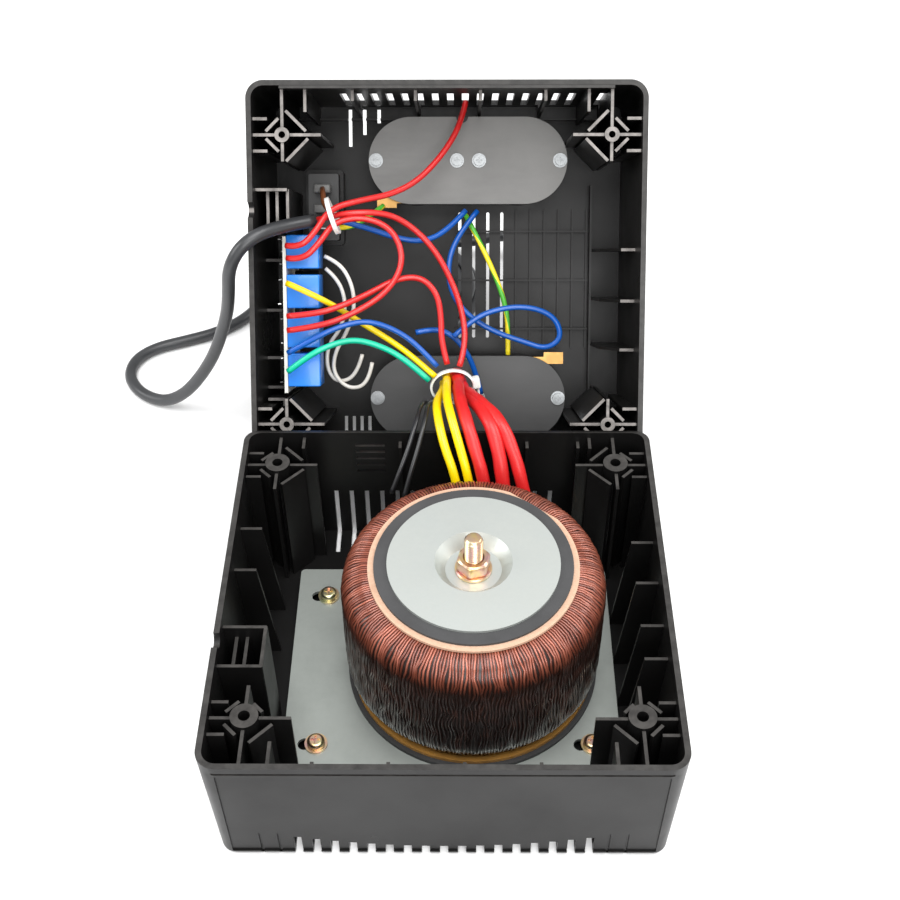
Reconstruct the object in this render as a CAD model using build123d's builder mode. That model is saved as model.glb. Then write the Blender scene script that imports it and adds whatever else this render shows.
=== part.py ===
# A relay-switched mains voltage stabiliser with a tapped toroidal autotransformer, opened for service.
# The base tray stands flat with the transformer bolted into it. The cover, with the relay board, the
# outlets and the switch, stands behind it and leans back, joined to the base only by its wires.
# Millimetres. Origin at the centre of the base's underside, +Z up, front of the base towards -Y.
from build123d import *
from math import atan, copysign, cos, degrees, hypot, pi, radians, sin, tan
import os

os.makedirs("parts", exist_ok=True)

# Case
case_width = 190.0
case_depth = 184.0
base_height = 70.0
cover_height = 74.0
wall = 2.5
draft_inset = 2.5
corner_radius = 6.0
edge_radius = 3.0
rib = 1.4
rim_gap = 0.3
cover_lean = 37.6
cover_standoff = 1.65

# Case screws, one near each corner
case_screw_x = 78.2
case_screw_back = 20.7
case_screw_front = 25.1
base_boss_radius = 5.6
cover_boss_radius = 3.4
screw_clearance_radius = 2.4
screw_pilot_radius = 1.6
boss_recess = 1.7

# Vents
vent_pitch = 7.5
vent_width = 3.4
louvre_pitch = 4.2
panel_slot_pitch = 7.4

# Mounting plate and its screws
plate_length = 147.4
plate_depth = 115.0
plate_thickness = 1.6
plate_centre = (2.9, -0.4)
plate_underside = 6.4
plate_screw_pitch_x = 120.4
plate_screw_pitch_y = 82.0
plate_screw_centre = (3.9, -0.5)
plate_screw_radius = 2.0
plate_screw_head_radius = 3.9
plate_washer_radius = 5.0
plate_washer_thickness = 1.0
keyhole_offset = 5.2
keyhole_radius = 2.9

# Toroidal transformer
toroid_centre = (12.2, 2.2)
winding_radius = 57.2
winding_hole_radius = 17.0
winding_height = 64.5
winding_round = 12.0
winding_layer = 7.0
lower_pad_radius = 56.5
lower_pad_thickness = 2.0
lower_ring_radius = 54.5
lower_ring_thickness = 1.8
upper_ring_radius = 44.9
upper_ring_thickness = 1.2
ring_chord = 1.9
chord_angle = 52.0
upper_pad_radius = 42.3
upper_pad_thickness = 1.2
dish_radius = 36.7
dish_thickness = 1.2
dish_well_radius = 16.5
dish_well_floor_radius = 12.0
dish_well_depth = 5.2
bolt_radius = 4.0
bolt_stick_out = 12.0
bolt_head_height = 3.4
nut_across_flats = 13.0
nut_height = 6.5
clamp_washer_radius = 8.0
clamp_washer_thickness = 1.6
fit_clearance = 0.05
rest_clearance = 0.02

# Outlets on the cover
outlet_pitch = 52.4
outlet_centre_x = 10.2
upper_outlet_y = 58.2
lower_outlet_y = -63.0
outlet_bore_radius = 19.75
outlet_recess_depth = 17.3
outlet_body_width = 43.5
carrier_thickness = 4.6
cover_plate_thickness = 2.0
outlet_screw_radius = 1.5
outlet_screw_head_radius = 3.6
outlet_screw_reach = 20.6
pin_spacing = 19.0
pin_radius = 2.4
contact_radius = 3.6
earth_strip_thickness = 0.6
earth_strip_width = 9.0

# Relay board
board_left = -80.3
board_thickness = 1.6
board_bottom = -57.0
board_top = 19.5
board_low = 4.2
board_high = 61.0
relay_pitch = 19.3
relay_first_y = 12.1
relay_width = 16.3
relay_reach = 16.0
relay_length = 19.0
relay_top = 60.0
relay_case_wall = 0.8

# Mains switch
switch_centre = (-63.8, 35.0)
switch_frame = (19.2, 38.3)
switch_body = (15.4, 33.6)
switch_body_depth = 21.0
rocker_size = (11.4, 24.0)
rocker_pivot_radius = 1.2

# Cord clamp
clamp_low_y = 21.8
clamp_high_y = 41.6
clamp_inner_x = -77.4
clamp_height = 66.0

# Mains cord
cord_diameter = 6.5
coil_centre = (-32.0, 277.0)
coil_mean_radius = 36.0
coil_turns_across = 3
coil_layers = 2
plug_radius = 18.6
plug_length = 34.0


def unit(vector):
    length = hypot(*vector)
    return tuple(value / length for value in vector)


# Where the open cover stands: its rim is turned up to the front, and its lower outer edge is on the floor.
lean = radians(cover_lean)
rim_edge_y = case_depth / 2 + cover_standoff
rim_edge_z = (
    cover_height * sin(lean) - draft_inset * cos(lean) - edge_radius * (sin(lean) + cos(lean) - 1)
)
cover_y = rim_edge_y + case_depth / 2 * sin(lean) + cover_height * cos(lean)
cover_z = rim_edge_z + case_depth / 2 * cos(lean) - cover_height * sin(lean)
cover_plane = Plane(
    origin=(0, cover_y, cover_z), x_dir=(1, 0, 0), z_dir=(0, -cos(lean), sin(lean))
)

# The line that the cover turns about between its open place and its closed place on the base.
fold_angle = 90 + cover_lean
closed_edge_y = case_depth / 2
closed_edge_z = base_height + rim_gap
step_y = closed_edge_y - rim_edge_y
step_z = closed_edge_z - rim_edge_z
reach = 0.5 / tan(radians(fold_angle / 2))
fold_y = (rim_edge_y + closed_edge_y) / 2 - reach * step_z
fold_z = (rim_edge_z + closed_edge_z) / 2 + reach * step_y
fold_clear_radius = closed_edge_z - fold_z - rim_gap


def on_cover(height):
    return cover_plane.offset(height)


def to_world(point):
    return cover_plane.from_local_coords(Vector(*point))


def tapered_tub(plane, height):
    """An open tray with drafted walls and a rounded outer bottom edge."""
    slope = degrees(atan(draft_inset / height))
    low_width = case_width - 2 * draft_inset
    low_depth = case_depth - 2 * draft_inset
    floor_share = wall * draft_inset / height
    with BuildPart() as tub:
        with BuildSketch(plane):
            RectangleRounded(low_width, low_depth, corner_radius)
        extrude(amount=height, taper=-slope)
        outer_face = tub.faces().sort_by(Axis(plane.origin, plane.z_dir))[0]
        fillet(outer_face.edges(), edge_radius)
        with BuildSketch(plane.offset(wall)):
            RectangleRounded(
                low_width - 2 * wall + 2 * floor_share,
                low_depth - 2 * wall + 2 * floor_share,
                corner_radius - wall,
            )
        extrude(amount=height, taper=-slope, mode=Mode.SUBTRACT)
    return tub.part


def inner_half(size, height, full_height):
    """Half the inside width of a drafted tray at a height above its outer face."""
    return size / 2 - draft_inset * (1 - height / full_height) - wall


def thin_wall(plane, start, end, height, low=wall, thickness=rib):
    """A straight upright rib between two points, from just inside the floor up to a height."""
    run = hypot(end[0] - start[0], end[1] - start[1])
    angle = Vector(1, 0, 0).get_signed_angle(Vector(end[0] - start[0], end[1] - start[1], 0))
    middle = ((start[0] + end[0]) / 2, (start[1] + end[1]) / 2)
    with BuildPart() as slab:
        with BuildSketch(plane.offset(low - 0.5)):
            with Locations(Location((middle[0], middle[1], 0), (0, 0, angle))):
                Rectangle(run + thickness * 0.5, thickness)
        extrude(amount=height - low + 0.5)
    return slab.part


def gusset(plane, at, direction, profile):
    """A tapered web standing on the floor: profile points are (distance inwards, height)."""
    along = Vector(*direction, 0)
    across = Vector(-direction[1], direction[0], 0)
    origin = plane.from_local_coords(Vector(at[0], at[1], 0))
    x_dir = plane.from_local_coords(along) - plane.from_local_coords(Vector(0, 0, 0))
    z_dir = plane.from_local_coords(across) - plane.from_local_coords(Vector(0, 0, 0))
    upright = Plane(origin=origin, x_dir=x_dir, z_dir=z_dir)
    flip = upright.y_dir.dot(plane.z_dir)
    with BuildPart() as web:
        with BuildSketch(upright):
            with BuildLine():
                Polyline(*[(x, y * flip) for x, y in profile], close=True)
            make_face()
        extrude(amount=rib / 2, both=True)
    return web.part


def boss_ribs(plane, x, y, height, full_height, turned, free_reach, inner_reach):
    """The star of ribs round a corner screw boss. Ribs towards the walls reach them square on."""
    side = 1 if x > 0 else -1
    end = 1 if y > 0 else -1
    wall_x = side * (inner_half(case_width, height * 0.5, full_height) + 0.6)
    wall_y = end * (inner_half(case_depth, height * 0.5, full_height) + 0.6)
    start = turned * 0.707
    kink = 7.5
    lines = [
        [(x + side * turned, y), (wall_x, y)],
        [(x, y + end * turned), (x, wall_y)],
        [(x + side * start, y + end * start), (x + side * kink, y + end * kink), (wall_x, y + end * kink)],
        [(x - side * start, y + end * start), (x - side * 11, y + end * 11), (x - side * 11, wall_y)],
        [(x + side * start, y - end * start), (x + side * kink, y - end * kink), (wall_x, y - end * kink)],
        [(x - side * turned, y), (x - side * 18, y)],
        [(x, y - end * turned), (x, y - end * free_reach)],
        [(x - side * start, y - end * start), (x - side * inner_reach, y - end * inner_reach)],
    ]
    return [
        thin_wall(plane, first, second, height)
        for line in lines
        for first, second in zip(line, line[1:])
    ]


screw_points = [
    (side * case_screw_x, y)
    for side in (-1, 1)
    for y in (-case_depth / 2 + case_screw_front, case_depth / 2 - case_screw_back)
]
cover_screw_points = [(x, -y) for x, y in screw_points]
plate_screw_points = [
    (
        plate_screw_centre[0] + side * plate_screw_pitch_x / 2,
        plate_screw_centre[1] + end * plate_screw_pitch_y / 2,
    )
    for side in (-1, 1)
    for end in (-1, 1)
]

# Base tray -----------------------------------------------------------------------------------------
base_boss_top = base_height - boss_recess
front_wall_y = -case_depth / 2
front_normal = unit((0, -base_height, -draft_inset))
front_face = Plane(
    origin=(0, front_wall_y + draft_inset, 0), x_dir=(1, 0, 0), z_dir=front_normal
)
web_foot = wall - 0.4
side_web = [(-1.2, web_foot), (14, web_foot), (8.5, 61), (-1.2, 61)]
fin_web = [(-1.2, web_foot), (6, web_foot), (3.2, 64), (-1.2, 64)]

clamp_wall_x = -inner_half(case_width, 40, base_height) - 0.8
clamp_rib_x = clamp_inner_x + 3
base_side = inner_half(case_width, 30, base_height)
base_end = inner_half(case_depth, 30, base_height)
base_webs = [
    web
    for x, y in screw_points
    for web in boss_ribs(
        Plane.XY, x, y, base_boss_top - 1.6, base_height, 4.4, 15, 12 if y > 0 else 6.5
    )
]
# Webs on the side walls and fins on the end walls
for y in (29, 6, -17, -34):
    base_webs.append(gusset(Plane.XY, (base_side, y), (-1, 0), side_web))
for y in (37, 13):
    base_webs.append(gusset(Plane.XY, (-base_side, y), (1, 0), side_web))
for x in (-50.5, -21, 8.5, 38):
    base_webs.append(gusset(Plane.XY, (x, -base_end), (0, 1), fin_web))
for x in (-22, 38, 62):
    base_webs.append(gusset(Plane.XY, (x, base_end), (0, -1), fin_web))
# Lower half of the cord clamp on the left wall
for y in (-clamp_low_y, -clamp_high_y):
    base_webs.append(thin_wall(Plane.XY, (clamp_wall_x, y), (clamp_rib_x, y), clamp_height))
base_webs.append(
    thin_wall(Plane.XY, (clamp_rib_x, -clamp_low_y), (clamp_rib_x, -clamp_high_y), clamp_height)
)
for x in (-87, -82.5):
    base_webs.append(thin_wall(Plane.XY, (x, -clamp_low_y), (x, -clamp_high_y), clamp_height - 6))

with BuildPart(mode=Mode.PRIVATE) as base_vents:
    # A comb along the bottom front edge, taller towards the ends
    for step in range(-8, 9):
        top = 6.5 + 7.5 * (step / 8) ** 2
        with BuildSketch(Plane.XY.offset(-1)):
            with Locations((step * vent_pitch, front_wall_y + 7.5)):
                Rectangle(vent_width, 17)
        extrude(amount=top + 1)
    # Two narrow grooves past each end of the comb
    with BuildSketch(front_face):
        with Locations(*[(step * vent_pitch, 9) for step in (-10, -9, 9, 10)]):
            Rectangle(1.2, 16)
    extrude(amount=-1.3)
    # At the back: slots that wrap under the bottom edge, and a bank of louvres
    with BuildSketch(Plane.XY.offset(-1)):
        with Locations(*[(step * vent_pitch - 2, case_depth / 2 - 9) for step in range(-7, 8)]):
            Rectangle(2.2, 20)
    extrude(amount=32)
    with BuildSketch(Plane.XZ.offset(-case_depth / 2 - 2)):
        with Locations(*[(-36.5, 44.8 + step * louvre_pitch) for step in range(5)]):
            Rectangle(14, 1.6)
    extrude(amount=12)

with BuildPart() as base_shell:
    add(tapered_tub(Plane.XY, base_height))
    # Corner bosses for the case screws, and posts under the mounting plate
    with BuildSketch(Plane.XY.offset(wall - 0.5)):
        with Locations(*screw_points):
            Circle(base_boss_radius + 1.2)
    extrude(amount=base_boss_top - wall + 0.5, taper=1.0)
    with BuildSketch(Plane.XY.offset(wall - 0.5)):
        with Locations(*plate_screw_points):
            Circle(4.6)
    extrude(amount=plate_underside - rest_clearance - wall + 0.5)
    add(base_webs)
    # Holes: case screws from below, plate screws from above
    with BuildSketch(Plane.XY.offset(-1)):
        with Locations(*screw_points):
            Circle(screw_clearance_radius)
    extrude(amount=base_height + 2, mode=Mode.SUBTRACT)
    with BuildSketch(Plane.XY.offset(-1)):
        with Locations(*screw_points):
            Circle(screw_clearance_radius + 2)
    extrude(amount=base_height - 18, mode=Mode.SUBTRACT)
    with BuildSketch(Plane.XY.offset(1.0)):
        with Locations(*plate_screw_points):
            Circle(plate_screw_radius + fit_clearance)
    extrude(amount=plate_underside, mode=Mode.SUBTRACT)
    # Front panel set back between the rim band and the corners
    with BuildSketch(front_face):
        with Locations((0, base_height / 2 - 1.6)):
            Rectangle(case_width - 15, base_height - 9.6)
    extrude(amount=-0.7, mode=Mode.SUBTRACT)
    with BuildSketch(front_face):
        with Locations((0, base_height - 4.2)):
            Rectangle(case_width - 13, 1.3)
    extrude(amount=-1.4, mode=Mode.SUBTRACT)
    add(base_vents.part, mode=Mode.SUBTRACT)
    # Cord notch in the left wall, and the eased back rim that the cover turns over
    with BuildSketch(Plane.YZ.offset(-case_width / 2 - 1)):
        with Locations((-(clamp_low_y + clamp_high_y) / 2, base_height)):
            Circle(cord_diameter / 2 + 0.4)
    extrude(amount=26, mode=Mode.SUBTRACT)
    with BuildSketch(Plane.YZ.offset(-case_width)):
        with Locations((fold_y + 15, fold_z + 15)):
            Rectangle(30, 30)
        with Locations((fold_y, fold_z)):
            Circle(fold_clear_radius, mode=Mode.SUBTRACT)
    extrude(amount=2 * case_width, mode=Mode.SUBTRACT)
base_shell.part.label = "base_shell"

# Steel mounting plate with keyhole slots beside its screws -------------------------------------------
with BuildPart() as transformer_plate:
    with BuildSketch(Plane.XY.offset(plate_underside)):
        with Locations(plate_centre):
            RectangleRounded(plate_length, plate_depth, 2)
    extrude(amount=plate_thickness)
    with BuildSketch(Plane.XY.offset(plate_underside)):
        with Locations(*plate_screw_points):
            Circle(plate_screw_radius + 0.3)
        with Locations(*[(x - keyhole_offset, y) for x, y in plate_screw_points]):
            Circle(keyhole_radius)
        with Locations(*[(x - keyhole_offset / 2, y) for x, y in plate_screw_points]):
            Rectangle(keyhole_offset, 2 * plate_screw_radius)
        with Locations(toroid_centre):
            Circle(bolt_radius + fit_clearance)
    extrude(amount=plate_thickness, mode=Mode.SUBTRACT)
transformer_plate.part.label = "transformer_plate"
plate_top = plate_underside + plate_thickness

with BuildPart() as plate_washers:
    with BuildSketch(Plane.XY.offset(plate_top + rest_clearance)):
        with Locations(*plate_screw_points):
            Circle(plate_washer_radius)
            Circle(plate_screw_radius + 0.2, mode=Mode.SUBTRACT)
    extrude(amount=plate_washer_thickness)
plate_washers.part.label = "plate_washers"

with BuildPart() as plate_screws:
    head_low = plate_top + plate_washer_thickness + 2 * rest_clearance
    with BuildSketch(Plane.XY.offset(head_low)):
        with Locations(*plate_screw_points):
            Circle(plate_screw_head_radius)
    extrude(amount=2.7)
    fillet(plate_screws.edges().group_by(Axis.Z)[-1], 1.6)
    with BuildSketch(Plane.XY.offset(2.0)):
        with Locations(*plate_screw_points):
            Circle(plate_screw_radius)
    extrude(amount=head_low - 2.0)
    with BuildSketch(Plane.XY.offset(head_low + 1.5)):
        with Locations(*plate_screw_points):
            Rectangle(4.2, 1.0)
            Rectangle(1.0, 4.2)
    extrude(amount=3, mode=Mode.SUBTRACT)
plate_screws.part.label = "plate_screws"

# Transformer stack, from the plate up ------------------------------------------------------------------
lower_pad_low = plate_top + rest_clearance
lower_ring_low = lower_pad_low + lower_pad_thickness + rest_clearance
winding_low = lower_ring_low + lower_ring_thickness + rest_clearance
winding_top = winding_low + winding_height
upper_ring_low = winding_top + rest_clearance
upper_pad_low = upper_ring_low + upper_ring_thickness + rest_clearance
dish_low = upper_pad_low + upper_pad_thickness + rest_clearance
dish_top = dish_low + dish_thickness
well_floor = dish_top - dish_well_depth
toroid_axis = Axis((toroid_centre[0], toroid_centre[1], 0), (0, 0, 1))


def flat_ring(label, low, thickness, outer, inner, chord=0.0):
    """A flat ring on the toroid's axis. A chord cuts that much off its back right edge."""
    with BuildPart() as ring:
        with BuildSketch(Plane.XY.offset(low)):
            with Locations(toroid_centre):
                Circle(outer)
                Circle(inner, mode=Mode.SUBTRACT)
            if chord:
                with Locations(Location((*toroid_centre, 0), (0, 0, chord_angle))):
                    with Locations((2 * outer - chord, 0)):
                        Rectangle(2 * outer, 2 * outer, mode=Mode.SUBTRACT)
        extrude(amount=thickness)
    ring.part.label = label
    return ring


toroid_hole = dish_well_radius + 2.2
lower_rubber_pad = flat_ring(
    "lower_rubber_pad", lower_pad_low, lower_pad_thickness, lower_pad_radius, toroid_hole
)
lower_insulating_ring = flat_ring(
    "lower_insulating_ring", lower_ring_low, lower_ring_thickness, lower_ring_radius, toroid_hole
)
upper_insulating_ring = flat_ring(
    "upper_insulating_ring", upper_ring_low, upper_ring_thickness, upper_ring_radius, toroid_hole,
    chord=ring_chord,
)
upper_rubber_pad = flat_ring(
    "upper_rubber_pad", upper_pad_low, upper_pad_thickness, upper_pad_radius, toroid_hole
)

winding_plane = Plane(origin=(toroid_centre[0], toroid_centre[1], 0), x_dir=(1, 0, 0), z_dir=(0, -1, 0))
with BuildPart() as toroid_winding:
    with BuildSketch(winding_plane):
        with Locations(((winding_hole_radius + winding_radius) / 2 + 1.0, (winding_low + winding_top) / 2)):
            RectangleRounded(winding_radius - winding_hole_radius - 2, winding_height, winding_round)
            RectangleRounded(
                winding_radius - winding_hole_radius - 2 - 2 * winding_layer,
                winding_height - 2 * winding_layer,
                winding_round - winding_layer,
                mode=Mode.SUBTRACT,
            )
    revolve(axis=toroid_axis)
toroid_winding.part.label = "toroid_winding"

with BuildPart() as toroid_core:
    with BuildSketch(winding_plane):
        with Locations(((winding_hole_radius + winding_radius) / 2 + 1.0, (winding_low + winding_top) / 2)):
            RectangleRounded(
                winding_radius - winding_hole_radius - 2 - 2 * winding_layer - 0.1,
                winding_height - 2 * winding_layer - 0.1,
                winding_round - winding_layer - 0.05,
            )
    revolve(axis=toroid_axis)
toroid_core.part.label = "toroid_core"

with BuildPart() as clamp_dish:
    with BuildSketch(winding_plane):
        with BuildLine():
            Polyline(
                (bolt_radius + 0.2, well_floor - dish_thickness),
                (bolt_radius + 0.2, well_floor),
                (dish_well_floor_radius, well_floor),
                (dish_well_radius, dish_top),
                (dish_radius, dish_top),
                (dish_radius, dish_low),
                (dish_well_radius + 0.8, dish_low),
                (dish_well_floor_radius + 0.8, well_floor - dish_thickness),
                close=True,
            )
        make_face()
    revolve(axis=toroid_axis)
clamp_dish.part.label = "clamp_dish"

washer_low = well_floor + rest_clearance
nut_low = washer_low + clamp_washer_thickness + rest_clearance
bolt_top = nut_low + nut_height + bolt_stick_out
with BuildPart() as clamp_washer:
    with BuildSketch(Plane.XY.offset(washer_low)):
        with Locations(toroid_centre):
            Circle(clamp_washer_radius)
            Circle(bolt_radius + 0.2, mode=Mode.SUBTRACT)
    extrude(amount=clamp_washer_thickness)
clamp_washer.part.label = "clamp_washer"

with BuildPart() as clamp_nut:
    with BuildSketch(Plane.XY.offset(nut_low)):
        with Locations(toroid_centre):
            RegularPolygon(nut_across_flats / 2, 6, major_radius=False)
            Circle(bolt_radius + fit_clearance, mode=Mode.SUBTRACT)
    extrude(amount=nut_height)
clamp_nut.part.label = "clamp_nut"

with BuildPart() as centre_bolt:
    with BuildSketch(Plane.XY.offset(plate_underside - rest_clearance)):
        with Locations(toroid_centre):
            RegularPolygon(nut_across_flats / 2, 6, major_radius=False)
    extrude(amount=-bolt_head_height)
    with BuildSketch(Plane.XY.offset(plate_underside - 1)):
        with Locations(toroid_centre):
            Circle(bolt_radius)
    extrude(amount=bolt_top - plate_underside + 1)
    chamfer(centre_bolt.edges().group_by(Axis.Z)[-1], 0.8)
centre_bolt.part.label = "centre_bolt"

# Cover shell ---------------------------------------------------------------------------------------------
cover_boss_top = cover_height - boss_recess
outlet_places = [
    (outlet_centre_x + side * outlet_pitch / 2, y)
    for y in (upper_outlet_y, lower_outlet_y)
    for side in (-1, 1)
]
outlet_body_length = outlet_pitch + outlet_body_width + 5.1
cover_side = inner_half(case_width, 30, cover_height)
cover_end = inner_half(case_depth, 30, cover_height)
tongue = 2.0
tongue_wall = 1.3
part_gap = 0.35
top_web = [(-1.2, web_foot), (7, web_foot), (5, 67), (-1.2, 67)]
left_web = [(-1.2, web_foot), (8.5, web_foot), (7.5, 40), (-1.2, 40)]
right_web = [(-1.2, web_foot), (16, web_foot), (14.5, 38), (6, 57), (-1.2, 57)]

cover_webs = [
    web
    for x, y in cover_screw_points
    for web in boss_ribs(cover_plane, x, y, cover_boss_top - 1.2, cover_height, 2.8, 12, 12)
]
for x in (-45, -15, 16, 47):
    cover_webs.append(gusset(cover_plane, (x, cover_end), (0, -1), top_web))
for y in (8, -17, -41, -56):
    cover_webs.append(gusset(cover_plane, (-cover_side, y), (1, 0), left_web))
for y in (13, -12, -36):
    cover_webs.append(gusset(cover_plane, (cover_side, y), (-1, 0), right_web))
# Webs between the tubes of each outlet pair
for y in (upper_outlet_y - 8, upper_outlet_y + 8, lower_outlet_y - 8, lower_outlet_y + 8):
    start = (outlet_centre_x - 8, y)
    end = (outlet_centre_x + 8, y)
    cover_webs.append(thin_wall(cover_plane, start, end, outlet_recess_depth - 0.5))
# Upper half of the cord clamp
clamp_start_x = -cover_side - 0.8
for y in (clamp_low_y, clamp_high_y):
    cover_webs.append(thin_wall(cover_plane, (clamp_start_x, y), (clamp_inner_x, y), clamp_height))
for x in (clamp_inner_x, -82.5, -87):
    cover_webs.append(thin_wall(cover_plane, (x, clamp_low_y), (x, clamp_high_y), clamp_height - 5))
# Rails that hold the relay board, and the bracket at its lower end
for x in (board_left - rib / 2 - 0.25, board_left + board_thickness + rib / 2 + 0.25):
    cover_webs.append(thin_wall(cover_plane, (x, board_bottom + 4), (x, board_top - 4), 9))
bracket = [(-89.5, -61), (-81.5, -61), (-81.5, -68), (-78, -68), (-78, -80), (-89.5, -80)]
for first, second in zip(bracket, bracket[1:]):
    cover_webs.append(thin_wall(cover_plane, first, second, 52))
# Stiffening grid on the plain part of the panel, and the steps round it
for step in range(5, 11):
    x = 2.3 + (step - 0.5) * panel_slot_pitch
    cover_webs.append(thin_wall(cover_plane, (x, -38), (x, 34), wall + 1.6, thickness=1.0))
for y in (23, -2.5, -28):
    cover_webs.append(thin_wall(cover_plane, (4, y), (74.5, y), wall + 2.6, thickness=1.0))
cover_webs.append(thin_wall(cover_plane, (74.5, -60), (74.5, 46), 9, thickness=1.2))
cover_webs.append(thin_wall(cover_plane, (-90, 80.5), (90, 80.5), 7, thickness=1.2))
# Tongue inside the rim along the front edge
tongue_x = inner_half(case_width, cover_height, cover_height) - 14
tongue_y = inner_half(case_depth, cover_height, cover_height) - tongue_wall / 2 - part_gap
foot_y = tongue_y + tongue_wall / 2
for y, top in ((tongue_y, cover_height + tongue), (foot_y, cover_height - 0.5)):
    cover_webs.append(
        thin_wall(
            cover_plane, (-tongue_x, y), (tongue_x, y), top,
            low=cover_height - 5.5, thickness=tongue_wall,
        )
    )

with BuildPart(mode=Mode.PRIVATE) as cover_vents:
    # A row through the top wall; the first three wrap onto the panel
    with BuildSketch(on_cover(10)):
        with Locations(*[(-51.2 + step * vent_pitch, case_depth / 2 - 1) for step in range(18)]):
            Rectangle(vent_width, 12)
    extrude(amount=38)
    for step in range(3):
        with BuildSketch(on_cover(-1)):
            with Locations((-51.2 + step * vent_pitch, 76.5 + 3 * step)):
                Rectangle(1.8, 19 - 6 * step)
        extrude(amount=14)
    # Long slots through the panel, and a short bank in its lower corner
    with BuildSketch(on_cover(-1)):
        with Locations(*[(6 + step * panel_slot_pitch, 0) for step in range(4)]):
            SlotOverall(66, 1.6, rotation=90)
        with Locations(*[(-55 + step * 4.2, -79) for step in range(4)]):
            Rectangle(1.8, 8)
    extrude(amount=wall + 2)

with BuildPart() as cover_shell:
    add(tapered_tub(cover_plane, cover_height))
    with BuildSketch(on_cover(wall - 0.5)):
        with Locations(*cover_screw_points):
            Circle(cover_boss_radius + 1.0)
    extrude(amount=cover_boss_top - wall + 0.5, taper=0.7)
    # Tubes of the outlet recesses, and the frame round the mains switch
    with BuildSketch(on_cover(wall - 0.5)):
        with Locations(*outlet_places):
            Circle(outlet_body_width / 2)
    extrude(amount=outlet_recess_depth - rest_clearance - wall + 0.5)
    with BuildSketch(on_cover(wall - 0.5)):
        with Locations(switch_centre):
            RectangleRounded(*switch_frame, 2)
    extrude(amount=12.5)
    add(cover_webs)
    # Bores and holes
    with BuildSketch(on_cover(cover_height)):
        with Locations(*cover_screw_points):
            Circle(screw_pilot_radius)
    extrude(amount=-28, mode=Mode.SUBTRACT)
    with BuildSketch(on_cover(-1)):
        with Locations(*outlet_places):
            Circle(outlet_bore_radius)
    extrude(amount=outlet_recess_depth + 1, mode=Mode.SUBTRACT)
    with BuildSketch(on_cover(-1)):
        with Locations(switch_centre):
            RectangleRounded(switch_body[0] + 0.4, switch_body[1] + 0.4, 1)
    extrude(amount=20, mode=Mode.SUBTRACT)
    add(cover_vents.part, mode=Mode.SUBTRACT)
    # Cord notch above the clamp, in the left wall
    with BuildSketch(Plane(
        origin=to_world((-case_width / 2 - 1, 0, 0)), x_dir=cover_plane.y_dir, z_dir=(1, 0, 0)
    )):
        with Locations(((clamp_low_y + clamp_high_y) / 2, cover_height)):
            Circle(cord_diameter / 2 + 0.4)
    extrude(amount=26, mode=Mode.SUBTRACT)
cover_shell.part.label = "cover_shell"

# Outlet carriers, back plates, contacts and earth strips --------------------------------------------------


def outlet_screw_points(y):
    return [
        (outlet_centre_x + side * outlet_pitch / 2 + end * outlet_screw_reach, y)
        for side in (-1, 1)
        for end in (-1, 1)
    ]


def contact_points(y):
    return [
        (outlet_centre_x + side * outlet_pitch / 2, y + end * pin_spacing / 2)
        for side in (-1, 1)
        for end in (-1, 1)
    ]


carrier_top = outlet_recess_depth + carrier_thickness
plate_low = carrier_top + earth_strip_thickness + 2 * rest_clearance
outlet_plate_top = plate_low + cover_plate_thickness


def outlet_carrier(label, y):
    with BuildPart() as carrier:
        with BuildSketch(on_cover(outlet_recess_depth)):
            with Locations((outlet_centre_x, y)):
                SlotOverall(outlet_body_length, outlet_body_width)
        extrude(amount=carrier_thickness)
        with BuildSketch(on_cover(outlet_recess_depth)):
            with Locations(*contact_points(y)):
                Circle(contact_radius)
            with Locations(*outlet_screw_points(y)):
                Circle(outlet_screw_radius + fit_clearance)
        extrude(amount=carrier_thickness, mode=Mode.SUBTRACT)
    carrier.part.label = label
    return carrier


def outlet_plate(label, y):
    with BuildPart() as plate:
        with BuildSketch(on_cover(plate_low)):
            with Locations((outlet_centre_x, y)):
                SlotOverall(outlet_body_length, outlet_body_width)
        extrude(amount=cover_plate_thickness)
        with BuildSketch(on_cover(plate_low)):
            with Locations(*outlet_screw_points(y)):
                Circle(outlet_screw_radius + 0.2)
            with Locations((outlet_centre_x - 3, y + outlet_body_width / 2)):
                Circle(3)
        extrude(amount=cover_plate_thickness, mode=Mode.SUBTRACT)
    plate.part.label = label
    return plate


def outlet_contacts(label, y):
    with BuildPart() as contacts:
        with BuildSketch(on_cover(outlet_recess_depth + 0.3)):
            with Locations(*contact_points(y)):
                Circle(contact_radius - 0.15)
                Circle(pin_radius + 0.05, mode=Mode.SUBTRACT)
        extrude(amount=carrier_thickness - 0.6)
    contacts.part.label = label
    return contacts


def earth_strip(label, y, tab_side, tab_shift):
    """A brass strip between carrier and plate, with an earth finger in each recess and a tab outside."""
    strip_low = carrier_top + rest_clearance
    tab_y = y + tab_side * (outlet_body_width / 2 - 1.15)
    bar_width = 3.6
    finger_x = outlet_centre_x + copysign(8, tab_shift)
    with BuildPart() as strip:
        with BuildSketch(on_cover(strip_low)):
            with Locations((outlet_centre_x + tab_shift, tab_y)):
                Rectangle(10, 6)
            with Locations((outlet_centre_x + tab_shift / 2, tab_y - tab_side * 1.2)):
                Rectangle(abs(tab_shift) + 2, bar_width)
            with Locations((outlet_centre_x, y)):
                Rectangle(34, earth_strip_width)
            with Locations((finger_x, y + tab_side * 10.5)):
                Rectangle(6, 20)
            with Locations(*outlet_screw_points(y)):
                Circle(outlet_screw_radius + 0.3, mode=Mode.SUBTRACT)
        extrude(amount=earth_strip_thickness)
    strip.part.label = label
    return strip


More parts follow.
